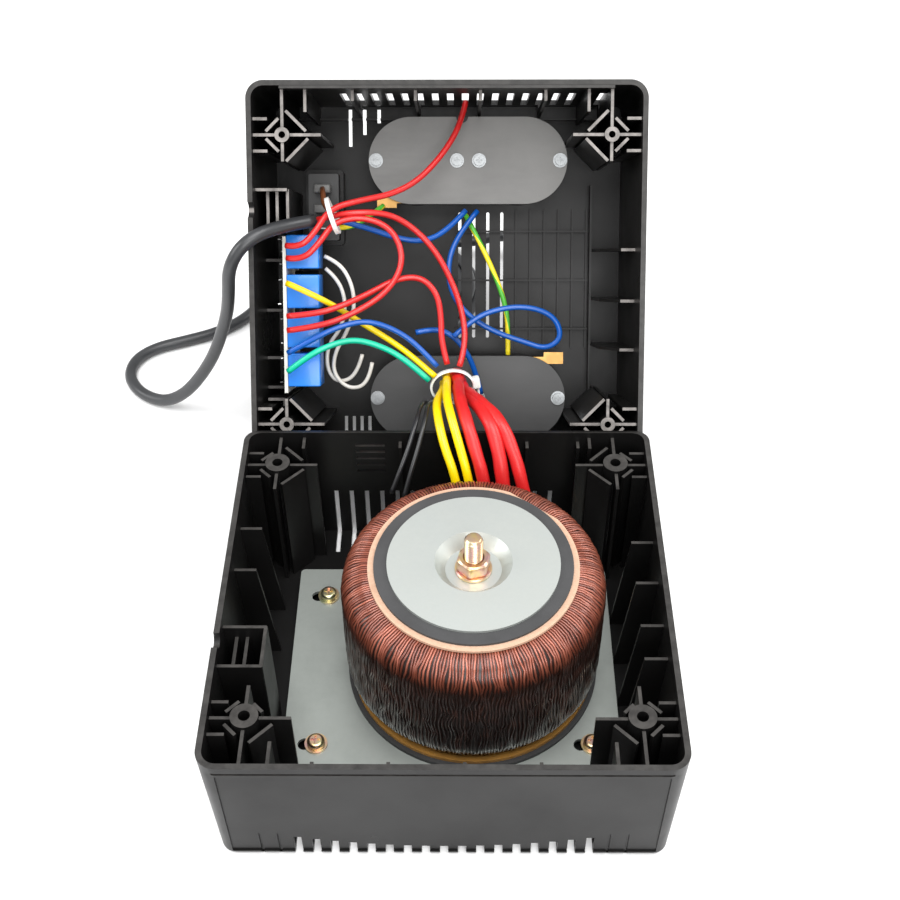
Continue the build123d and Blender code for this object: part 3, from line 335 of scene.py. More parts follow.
def brushedDish():
    # Fine rings round the toroid's axis
    material = newMaterial("dishSteel", (0.6, 0.63, 0.6), 0.36, 0.75)
    coords = addNode(material, "ShaderNodeTexCoord")
    centred = addNode(material, "ShaderNodeMapping")
    centred.inputs["Location"].default_value = [-value * mm for value in (*windingSizes["centre"], 0)]
    join(material, coords.outputs["Object"], centred.inputs["Vector"])
    parts = addNode(material, "ShaderNodeSeparateXYZ")
    join(material, centred.outputs["Vector"], parts.inputs["Vector"])
    across = mathOf(material, "MULTIPLY", parts.outputs["X"], parts.outputs["X"])
    along = mathOf(material, "MULTIPLY", parts.outputs["Y"], parts.outputs["Y"])
    radius = mathOf(material, "SQRT", mathOf(material, "ADD", across, along))
    packed = addNode(material, "ShaderNodeCombineXYZ")
    join(material, radius, packed.inputs["X"])
    rings = noiseAt(material, packed.outputs["Vector"], 1500, 3)
    haze = noiseAt(material, objectPlace(material), 45, 5, 0.6)
    tinted(material, rangeOf(material, haze, 0.35, 0.7), (0.6, 0.63, 0.6), (0.5, 0.53, 0.51))
    join(
        material, rangeOf(material, haze, 0.3, 0.7, 0.3, 0.48), shaderOf(material).inputs["Roughness"]
    )
    addBump(material, rings, 0.12, 0.00008)
    return material


def pressedFibre(name, colour):
    material = newMaterial(name, colour, 0.5)
    place = objectPlace(material, (0.25, 1, 1))
    streaks = noiseAt(material, place, 120, 6, 0.65)
    smears = noiseAt(material, objectPlace(material), 18, 5, 0.55)
    paler = tuple(channel * 1.28 for channel in colour)
    darker = tuple(channel * 0.8 for channel in colour)
    base = mixed(material, rangeOf(material, streaks, 0.3, 0.7), darker, colour)
    join(
        material,
        mixed(material, rangeOf(material, smears, 0.45, 0.75), base, paler),
        shaderOf(material).inputs["Base Color"],
    )
    join(
        material, rangeOf(material, smears, 0.3, 0.7, 0.38, 0.6), shaderOf(material).inputs["Roughness"]
    )
    addBump(material, streaks, 0.1, 0.0002)
    return material


def pressboard():
    material = newMaterial("pressboard", (0.82, 0.6, 0.42), 0.75)
    place = objectPlace(material)
    specks = noiseAt(material, place, 620, 5, 0.7)
    stains = noiseAt(material, place, 40, 4)
    base = mixed(
        material, rangeOf(material, specks, 0.3, 0.75), (0.56, 0.37, 0.26), (0.44, 0.27, 0.18)
    )
    join(
        material,
        mixed(material, rangeOf(material, stains, 0.55, 0.85), base, (0.38, 0.21, 0.13)),
        shaderOf(material).inputs["Base Color"],
    )
    addBump(material, specks, 0.25, 0.0002)
    return material


wireColours = {
    "red": (0.6, 0.014, 0.014),
    "yellow": (0.93, 0.66, 0.0),
    "blue": (0.003, 0.085, 0.4),
    "green": (0.004, 0.5, 0.3),
    "white": (0.74, 0.71, 0.65),
    "black": (0.012, 0.012, 0.013),
    "brown": (0.17, 0.055, 0.02),
}
windingSizes = {
    "centre": (12.2, 2.2),
    "top": 76.36,
    "bottom": 11.86,
    "outer": 57.0,
    "inner": 19.0,
    "round": 12.0,
    "wire": 1.1,
    "turns": 246,
    "wander": 1.0,
    "seed": 7,
}
makeStudio()
materials = {
    "baseCase": casePlastic(
        "baseCase", caseLook["baseColour"], caseLook["ribTopHighlight"], (0, 0, 1), (
            0.045, 0.06, 0.0695, 0.0698
        )
    ),
    "coverCase": casePlastic(
        "coverCase", caseLook["coverColour"], caseLook["coverRibTopHighlight"], tuple(coverZ),
        [coverZ.dot(coverPoint((0, 0, height))) for height in (33, 60, 72.9, 73.4)],
    ),
    "plateSteel": grained(
        "plateSteel", (0.42, 0.45, 0.42), 0.42, (700, 0.12, 0.0001), (60, 0.86, 0.08), metallic=0.55
    ),
    "dishSteel": brushedDish(),
    "yellowZinc": yellowZinc(),
    "brightZinc": grained(
        "brightZinc", (0.26, 0.27, 0.275), 0.34, (900, 0.1, 0.0001), (200, 0.8, 0.06), 1.0
    ),
    "rubber": grained("rubber", (0.033, 0.033, 0.034), 0.68, (1100, 0.3, 0.0002), (50, 1.5, 0.06)),
    "amberFilm": grained(
        "amberFilm", (0.6, 0.3, 0.07), 0.3, (350, 0.1, 0.0002), (70, 0.6, 0.08), Coat_Weight=0.4
    ),
    "pressboard": pressboard(),
    "winding": windingCopper(),
    # near-black varnish: the winding's varnish plus painted shade in the gaps between turns
    "varnishGapShade": grained("varnishGapShade", (0.016, 0.007, 0.005), 0.35, (200, 0.4, 0.0005), (60, 0.6, 0.08)),
    "greyFibre": pressedFibre("greyFibre", (0.15, 0.148, 0.142)),
    "darkFibre": pressedFibre("darkFibre", (0.05, 0.05, 0.05)),
    "blackMoulding": grained(
        "blackMoulding", (0.014, 0.014, 0.014), 0.35, (900, 0.12, 0.0001), (30, 1.5, 0.08)
    ),
    "greyMoulding": grained(
        "greyMoulding", (0.16, 0.16, 0.155), 0.42, (700, 0.2, 0.0002), (60, 0.7, 0.08)
    ),
    "brass": grained(
        "brass", (0.5, 0.29, 0.1), 0.42, (700, 0.1, 0.0001), (90, 0.8, 0.08), metallic=1.0
    ),
    "solder": grained(
        "solder", (0.5, 0.5, 0.49), 0.3, (800, 0.25, 0.0002), (120, 0.75, 0.08), metallic=1.0
    ),
    "boardLaminate": grained(
        "boardLaminate", (0.74, 0.74, 0.68), 0.55, (600, 0.2, 0.0002), (80, 0.85, 0.08)
    ),
    "relayBlue": grained(
        "relayBlue", (0.012, 0.2, 0.72), 0.3, (900, 0.08, 0.0001), (25, 0.86, 0.05), Coat_Weight=0.2
    ),
    "coreSteel": grained(
        "coreSteel", (0.2, 0.2, 0.21), 0.4, (300, 0.2, 0.0002), (60, 0.7, 0.08), metallic=0.8
    ),
    "nylon": grained(
        "nylon", (0.83, 0.8, 0.75), 0.38, (500, 0.1, 0.0001), (80, 0.93, 0.06),
        Subsurface_Weight=0.15
    ),
    "cordPvc": grained(
        "cordPvc", (0.025, 0.026, 0.028), 0.36, (900, 0.18, 0.00015), (40, 1.5, 0.07)
    ),
    "earthStripes": earthStripes(),
    "redSleeving": grained(
        "redSleeving", (0.62, 0.014, 0.014), 0.42, (260, 0.2, 0.0004), (55, 0.78, 0.08),
        Subsurface_Weight=0.06
    ),
    "enamel": grained(
        "enamel", (0.32, 0.1, 0.06), 0.3, (500, 0.1, 0.0001), (120, 0.6, 0.08), metallic=0.4
    ),
}
for colourName, colour in wireColours.items():
    materials[colourName + "Wire"] = grained(
        colourName + "Wire", colour, 0.34, (650, 0.12, 0.0001), (45, 0.84, 0.06), Coat_Weight=0.15
    )
print("materials made:", len(materials))


# mesh helpers
def newPiece(name, corners, faces, material, smooth=True, uvs=None):
    mesh = bpy.data.meshes.new(name)
    mesh.from_pydata(corners, [], faces)
    mesh.materials.append(material)
    mesh.polygons.foreach_set("use_smooth", [smooth] * len(mesh.polygons))
    if uvs is not None:
        layer = mesh.uv_layers.new(name="UVMap")
        for loop in mesh.loops:
            layer.data[loop.index].uv = uvs[loop.vertex_index]
    mesh.update()
    piece = bpy.data.objects.new(name, mesh)
    scene.collection.objects.link(piece)
    return piece


def finishMesh(piece, work):
    bmesh.ops.recalc_face_normals(work, faces=work.faces)
    work.to_mesh(piece.data)
    work.free()
    piece.data.update()


def boxPiece(name, boxes, material, bevel=0.0004, segments=2, frameAxes=None, smooth=True):
    # boxes: (centre in mm, size in mm) in the base's frame, or in frameAxes (origin, X, Y, Z)
    origin, x, y, z = frameAxes or (
        Vector(), Vector((1, 0, 0)), Vector((0, 1, 0)), Vector((0, 0, 1))
    )
    turn = Matrix((x, y, z)).transposed().to_4x4()
    work = bmesh.new()
    for centre, size in boxes:
        made = bmesh.ops.create_cube(work, size=1.0)["verts"]
        bmesh.ops.scale(work, vec=Vector(size) * mm, verts=made)
        if bevel:
            edges = {edge for corner in made for edge in corner.link_edges}
            made = bmesh.ops.bevel(
                work, geom=list(edges), offset=bevel, segments=segments, affect="EDGES", profile=0.5
            )["verts"]
        place = origin + turn.to_3x3() @ (Vector(centre) * mm)
        bmesh.ops.transform(work, matrix=Matrix.Translation(place) @ turn, verts=made)
    piece = newPiece(name, [], [], material)
    finishMesh(piece, work)
    for face in piece.data.polygons:
        face.use_smooth = False
    return piece


coverAxes = (coverOrigin, coverX, coverY, coverZ)


def smoothLine(points, close=None):
    # The smooth line through a route's control points, read from a NURBS curve
    curve = bpy.data.curves.new("route", "CURVE")
    curve.dimensions = "3D"
    spline = curve.splines.new("NURBS")
    spline.points.add(len(points) - 1)
    for control, point in zip(spline.points, points):
        control.co = (*point, 1)
    spline.order_u = 3
    spline.use_endpoint_u = True
    spline.resolution_u = close or 8
    holder = bpy.data.objects.new("route", curve)
    scene.collection.objects.link(holder)
    bpy.context.view_layer.update()
    evaluated = holder.evaluated_get(bpy.context.evaluated_depsgraph_get())
    line = bpy.data.meshes.new_from_object(evaluated)
    path = [corner.co.copy() for corner in line.vertices]
    bpy.data.objects.remove(holder)
    bpy.data.curves.remove(curve)
    bpy.data.meshes.remove(line)
    kept = [path[0]]
    for point in path[1:]:
        if (point - kept[-1]).length > 1e-5:
            kept.append(point)
    return kept


def lengthOf(path):
    return sum((after - before).length for before, after in zip(path, path[1:]))


def framesAlong(path):
    # A tangent, a side and an up vector at each point, carried along without twisting
    frames = []
    side = None
    for index, point in enumerate(path):
        ahead = path[min(index + 1, len(path) - 1)]
        behind = path[max(index - 1, 0)]
        tangent = (ahead - behind).normalized()
        if side is None:
            side = tangent.orthogonal().normalized()
        side = (side - tangent * side.dot(tangent)).normalized()
        frames.append((tangent, side, tangent.cross(side)))
    return frames


def tubePiece(name, path, radius, material, sides=12, shape=None, capped=True):
    # shape(share along, angle) scales the radius, for sleeves that pucker or flare
    corners, uvs, faces = [], [], []
    total = lengthOf(path)
    travelled = 0.0
    for index, (point, (tangent, side, up)) in enumerate(zip(path, framesAlong(path))):
        if index:
            travelled += (point - path[index - 1]).length
        for step in range(sides):
            angle = 2 * math.pi * step / sides
            reach = radius * (shape(travelled / total, angle) if shape else 1.0)
            corners.append(point + (side * math.cos(angle) + up * math.sin(angle)) * reach)
            uvs.append((travelled, step / sides))
    for ring in range(len(path) - 1):
        for step in range(sides):
            after = (step + 1) % sides
            low, high = ring * sides, (ring + 1) * sides
            faces.append((low + step, low + after, high + after, high + step))
    if capped:
        for end, order in ((0, -1), (len(path) - 1, 1)):
            corners.append(path[end].copy())
            uvs.append((0.0 if end == 0 else total, 0.5))
            hub = len(corners) - 1
            for step in range(sides):
                pair = (end * sides + step, end * sides + (step + 1) % sides)
                faces.append((hub, *pair) if order > 0 else (hub, *reversed(pair)))
    return newPiece(name, corners, faces, material, uvs=uvs)


def lathePiece(name, profile, centre, axis, material, segments=64, shape=None, closed=False):
    # profile: (distance along the axis, radius) in mm, from one end to the other
    direction = Vector(axis).normalized()
    side = direction.orthogonal().normalized()
    up = direction.cross(side)
    corners, faces = [], []
    for along, radius in profile:
        for step in range(segments):
            angle = 2 * math.pi * step / segments
            reach = radius * (shape(along, angle, radius) if shape else 1.0)
            offset = (side * math.cos(angle) + up * math.sin(angle)) * reach
            corners.append((Vector(centre) + direction * along + offset) * mm)
    rings = len(profile)
    pairs = range(rings) if closed else range(rings - 1)
    for ring in pairs:
        for step in range(segments):
            after = (step + 1) % segments
            low, high = ring * segments, ((ring + 1) % rings) * segments
            faces.append((low + step, low + after, high + after, high + step))
    if not closed:
        faces.append(tuple(range(segments))[::-1])
        faces.append(tuple((rings - 1) * segments + step for step in range(segments)))
    piece = newPiece(name, corners, faces, material)
    work = bmesh.new()
    work.from_mesh(piece.data)
    finishMesh(piece, work)
    piece.data.polygons.foreach_set("use_smooth", [True] * len(piece.data.polygons))
    return piece


def softenEdges(piece, angle=35):
    # Sharp where two faces meet at more than the angle, smooth elsewhere
    for face in piece.data.polygons:
        face.use_smooth = True
    piece.data.set_sharp_from_angle(angle=math.radians(angle))


# mains cord: through the tie, over the left wall, down and round behind the cover to its coil
# and plug
cordSizes = {
    "diameter": 6.5,
    "floor": 3.45,
    "coilCentre": (-32.0, 277.0),
    "coilOuter": 49.1,
    "turnsPerLayer": 3,
    "pointsPerTurn": 16,
    "startAngle": -2.3,
    "endAngle": 22.0,
    "climbFrom": 2.7,
    "climbTo": 3.3,
}
cordInside = [
    (-65, 27, 61), (-73, 25.5, 67.5), (-82, 23, 73.8), (-91, 19.5, 78.2), (-99, 13, 79),
    (-104.5, 3.5, 75),
]
cordOutside = [
    (-107, 155.5, 101.5), (-110, 160.5, 85.5), (-115, 165, 69), (-122, 168, 50), (-131, 171, 33),
    (-142, 174, 17), (-154, 178, 6.45), (-165, 183, 3.45), (-175, 191, 3.45), (-181, 203, 3.45),
    (-179, 216, 3.45), (-169, 226, 3.45), (-153, 232, 3.45), (-136, 239, 3.45), (-122, 250, 3.45),
    (-112, 266, 3.45), (-102, 284, 3.45), (-89, 301, 3.45), (-74, 314.5, 3.45), (-55, 324.2, 3.45),
]
plugTail = [(-1, 319.5, 8.8), (9, 316.5, 10.5), (19, 313.5, 15), (29.7, 312, 18.8), (38.9, 312, 18.8)]


def coilPoints():
    turns = 2 * cordSizes["turnsPerLayer"]
    sweep = turns * 360 + cordSizes["endAngle"] - cordSizes["startAngle"]
    count = round(sweep / 360 * cordSizes["pointsPerTurn"])
    spread = 1 / math.cos(math.pi / cordSizes["pointsPerTurn"])
    pitch = cordSizes["diameter"]
    middle = turns / 2
    points = []
    for index in range(count + 1):
        turn = index / count * turns
        angle = math.radians(cordSizes["startAngle"] + sweep * index / count)
        inward = middle - abs(turn - middle)
        radius = (cordSizes["coilOuter"] - pitch * inward) * spread
        climb = (turn - cordSizes["climbFrom"]) / (cordSizes["climbTo"] - cordSizes["climbFrom"])
        height = cordSizes["floor"] + pitch * min(max(climb, 0.0), 1.0)
        x = cordSizes["coilCentre"][0] + radius * math.sin(angle)
        y = cordSizes["coilCentre"][1] + radius * math.cos(angle)
        points.append((x, y, height))
    return points


def makeMainsCord():
    route = [coverPoint(point) for point in cordInside]
    route += [worldPoint(point) for point in cordOutside + coilPoints() + plugTail]
    path = smoothLine(route, 5)
    cord = tubePiece("mainsCord", path, cordSizes["diameter"] / 2 * mm, materials["cordPvc"], 14)
    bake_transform(cord)
    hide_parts("mains_cord", "mains_cord_coil", "plug_lead")


plugSizes = {"centre": (79.0, 312.0, 18.8), "radius": 18.6, "ribs": 18, "ribDepth": 0.045}


def makePlug():
    # Round two-pin plug: a grooved grip, a waist and a tapered strain relief
    radius = plugSizes["radius"]
    profile = [
        (18.7, 0.6), (18.7, 16.4), (18.2, 17.6), (17.0, 18.4), (15.5, radius), (6.0, radius), (
            2.0, radius
        ),
        (-1.0, 18.0), (-4.0, 16.2), (-8.0, 13.8), (-12.0, 11.2), (-14.6, 8.6), (-16.0, 6.6), (
            -17.5, 6.0
        ),
    ]
    for step in range(7):
        low = -18.5 - 3.1 * step
        size = 5.9 - 0.28 * step
        profile += [
            (low, size), (low - 1.6, size), (low - 1.9, size - 0.9), (low - 2.8, size - 0.9),
        ]
    profile += [(-40.25, 3.9), (-40.25, 0.5)]

    def grip(along, angle, away):
        if not -9 < along < 15:
            return 1.0
        return 1 - plugSizes["ribDepth"] * max(0.0, math.sin(plugSizes["ribs"] * angle)) ** 2

    body = lathePiece(
        "plugBody", profile, plugSizes["centre"], (1, 0, 0), materials["cordPvc"], 96, grip
    )
    softenEdges(body, 40)
    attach(body, "base")
    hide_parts("mains_plug")
    return body


plugBody = makePlug()
makeMainsCord()

# leads: cover-frame control points in mm, as in the part, with a point more where one enters a
# sleeve
leads = {
    "switchedLiveLead": ("switched_live_lead", "red", "red_pvc", 3.0, [
        (-78, 15, 65), (-71, 14, 68), (-64, 21, 66), (-57, 33, 61), (-42, 37, 56), (-28, 40, 50),
        (-16, 46, 45), (-6, 56, 40), (2, 67, 36), (7, 78, 33), (9, 87, 27)]),
    "boardLinkLead": ("board_link_lead", "red", "red_pvc", 3.0, [
        (-78, 9, 63), (-70, 8, 66), (-62, 16, 65), (-55, 26.5, 61), (-41, 29, 58), (-28, 24, 57),
        (-22, 13, 59), (-23, 2, 61), (-31, -9, 64), (-46, -18, 67), (-62, -24, 68), (-78, -26, 65)]),
    "switchToWindingLead": ("switch_to_winding_lead", "red", "red_pvc", 3.0, [
        (-69, 27, 36), (-68, 27, 46), (-60, 28.5, 55), (-47, 31, 60), (-30, 31, 55), (-18, 25, 50),
        (-6, 13, 48), (3, -4, 48), (8, -20, 50), (9, -34, 54), (6, -44, 58)]),
    "boardRedLead": ("board_red_lead", "red", "red_pvc", 3.0, [
        (-78, -19, 65), (-64, -18, 68), (-51, -14, 66), (-38, -8, 61), (-25, -1, 58), (-13, 0, 56),
        (-5, -8, 56), (-3, -20, 57), (-3, -32, 58), (0, -43, 59)]),
    "yellowTapLead": ("yellow_tap_lead", "yellow", "yellow_pvc", 3.0, [
        (-78, -3, 65), (-66, -8, 69), (-54, -15, 60), (-42, -23, 56), (-27, -32, 56), (
            -15, -41, 58
        ),
        (-6, -49, 59)]),
    "blueTapLead": ("blue_tap_lead", "blue", "blue_pvc", 2.8, [
        (-78, -37, 65), (-67, -31, 68), (-53, -24, 67.5), (-39, -21, 64), (-25, -26, 61), (
            -14, -34, 60
        ),
        (-5, -44, 60)]),
    "greenTapLead": ("green_tap_lead", "green", "green_pvc", 3.0, [
        (-78, -46, 65), (-70, -40, 68), (-60, -34, 68), (-46, -30, 64), (-32, -34, 61), (
            -20, -41, 60
        ),
        (-9, -51, 59)]),
    "neutralLead": ("neutral_lead", "blue", "blue_pvc", 2.8, [
        (-52, 27, 51), (-40, 24, 45), (-26, 19, 41), (-12, 17, 38), (0, 23, 33), (9, 33, 27)]),
    "outletNeutralLead": ("outlet_neutral_lead", "blue", "blue_pvc", 2.8, [
        (15, 33, 23), (6, 22, 28), (0, 8, 33), (1, -7, 36), (9, -19, 37), (23, -28, 36), (
            38, -33, 35
        ),
        (50, -37, 37), (58, -31, 39), (54, -20, 41), (41, -15, 43), (26, -16, 43.5), (13, -21, 44),
        (3, -30, 46.5)]),
    "lowerNeutralLead": ("outlet_neutral_lead", "blue", "blue_pvc", 2.8, [
        (-16, -28, 46), (-7, -26, 44), (2, -29, 42), (9, -37, 40), (14, -48, 35), (17, -60, 31)]),
    "earthLead": ("earth_leads", "earth", "earth_pvc", 2.6, [
        (9, 31, 19), (18, 14, 26), (26, -4, 28), (30, -17, 28), (31, -29, 26), (31, -40.5, 24.4)]),
    "cordEarthLead": ("earth_leads", "earth", "earth_pvc", 2.6, [
        (-55, 24, 47), (-48, 24, 42), (-41, 29, 34), (-33, 35.5, 25)]),
    "sensorLeadLong": ("sensor_leads", "white", "white_pvc", 2.0, [
        (-61, 10, 50), (-54, 7, 50), (-48, -2, 50), (-46, -14, 49), (-50, -27, 46), (-57, -38, 44),
        (-58, -49, 43), (-50, -57, 43), (-40, -54, 44), (-38, -43, 46)]),
    "sensorLeadShort": ("sensor_leads", "white", "white_pvc", 2.0, [
        (-61, 4, 46), (-55, -1, 45), (-51, -12, 45), (-53, -25, 43), (-61, -35, 40.5), (
            -61.5, -47, 39
        ),
        (-56, -54, 40), (-46, -50, 42), (-43, -39, 45)]),
}


def makeLeads():
    for name, (node, colour, slot, diameter, route) in leads.items():
        path = smoothLine([coverPoint(point) for point in route], 8)
        look = materials["earthStripes"] if colour == "earth" else materials[colour + "Wire"]
        lead = tubePiece(name, path, diameter / 2 * mm, look, 12)
        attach(lead, "cover")
        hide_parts(node)
    route = [(-57, 31, 55), (-61, 35, 49), (-62, 40.5, 42.5), (-62.8, 42.8, 37), (-63.4, 43.8, 31)]
    path = smoothLine([coverPoint(point) for point in route], 8)
    core = tubePiece("liveCoreLead", path, 1.4 * mm, materials["brownWire"], 12)
    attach(core, "cover")
    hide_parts("live_core_lead")
    print("leads made:", len(leads) + 1)


makeLeads()

# sleeves and black leads from the winding over the back rim
sleeves = {
    "yellowSleeveLeft": ("yellow_sleeves", "yellowWire", "yellow_pvc", 4.2, [
        (-2.1, 138.3, 56.5), (-1.6, 130.8, 59.5), (-3.6, 119, 66), (-5, 106, 73), (-4, 92, 76),
        (-1, 80, 70), (4, 71, 60), (6, 67, 49)]),
    "yellowSleeveRight": ("yellow_sleeves", "yellowWire", "yellow_pvc", 4.2, [
        (-0.9, 139.9, 60.8), (-0.2, 132.4, 64), (-0.2, 119, 71.5), (0, 105, 77), (2, 92, 78.5),
        (6, 80, 71), (10, 71, 60), (12, 67, 49)]),
    "redSleeveLeft": ("red_sleeves", "redSleeving", "red_sleeving", 6.0, [
        (4.5, 139.9, 60.5), (5.5, 132.4, 63.6), (5.4, 120, 69), (6.4, 106, 74.5), (9, 91, 77.5),
        (13, 80, 70), (17, 71, 60), (19, 67, 49)]),
    "redSleeveMiddle": ("red_sleeves", "redSleeving", "red_sleeving", 6.6, [
        (4.3, 138.7, 55.6), (5.8, 130.4, 57.8), (11, 119, 64.5), (15, 104, 73.5), (20, 90, 77.5),
        (24, 80, 70), (26, 71, 60), (27.5, 67, 49)]),
    "redSleeveRight": ("red_sleeves", "redSleeving", "red_sleeving", 6.0, [
        (5.5, 137.7, 57.6), (7.4, 130.4, 60.2), (12.2, 119, 66), (17, 104, 75), (25, 90, 77.5),
        (30.5, 80, 70), (34.5, 71, 60), (37, 67, 49)]),
    "blackLeadLeft": ("thermal_leads", "blackWire", "black_pvc", 2.2, [
        (-11, 132, 49), (-11.5, 119.5, 61), (-12.5, 106, 71.5), (-14, 93.5, 74.5), (
            -17.5, 81.5, 68.5
        ),
        (-22, 73, 60), (-26, 68, 51)]),
    "blackLeadRight": ("thermal_leads", "blackWire", "black_pvc", 2.2, [
        (-7.5, 133, 50), (-8, 120, 60.5), (-9, 106, 72), (-10, 93, 75.5), (-13, 81, 69),
        (-17, 72, 60), (-20, 66, 50)]),
}
sleeveLook = {"pucker": 0.05, "flare": 0.35, "flareEnd": 0.14, "pinchAt": 0.13, "pinch": 0.12}


def puckered(share, angle):
    folds = math.sin(2 * angle + 17 * share) * math.sin(23 * share + 1.3)
    pinch = math.exp(-((share - sleeveLook["pinchAt"]) / 0.035) ** 2)
    mouth = max(0.0, 1 - share / sleeveLook["flareEnd"]) ** 1.5
    ripple = 1 + 0.25 * math.sin(3 * angle)
    return 1 + sleeveLook["pucker"] * folds - sleeveLook["pinch"] * pinch + sleeveLook["flare"] * mouth * ripple


def makeSleeves():
    for name, (node, look, slot, diameter, route) in sleeves.items():
        path = smoothLine([worldPoint(point) for point in route], 8)
        shape = puckered if look == "redSleeving" else None
        sleeve = tubePiece(
            name, path, diameter / 2 * mm, materials[look], 20 if shape else 12, shape
        )
        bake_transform(sleeve)
        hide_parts(node)
    print("sleeves made:", len(sleeves))


makeSleeves()


# winding: one wire turn instanced round the core's axis, pushed about where it runs down the side
def inputOf(tree, name, kind, value):
    socket = tree.interface.new_socket(name=name, in_out="INPUT", socket_type=kind)
    socket.default_value = value
    return socket


def treeNode(tree, kind, **settings):
    node = tree.nodes.new(kind)
    for name, value in settings.items():
        setattr(node, name, value)
    return node


def treeMath(tree, operation, first, second=None):
    node = treeNode(tree, "ShaderNodeMath", operation=operation)
    for socket, value in zip(node.inputs, (first, second)):
        if isinstance(value, bpy.types.NodeSocket):
            tree.links.new(value, socket)
        elif value is not None:
            socket.default_value = value
    return node.outputs[0]


windingTreeSizes = {
    "cornerSteps": 9,
    "pointsPerTurn": 46,
    "wireSides": 5,
    "driftScale": 210,
    "driftDetail": 1.5,
    "driftWeight": 6.0,
    "turnScale": 700,
    "turnMiddle": 0.62,
}


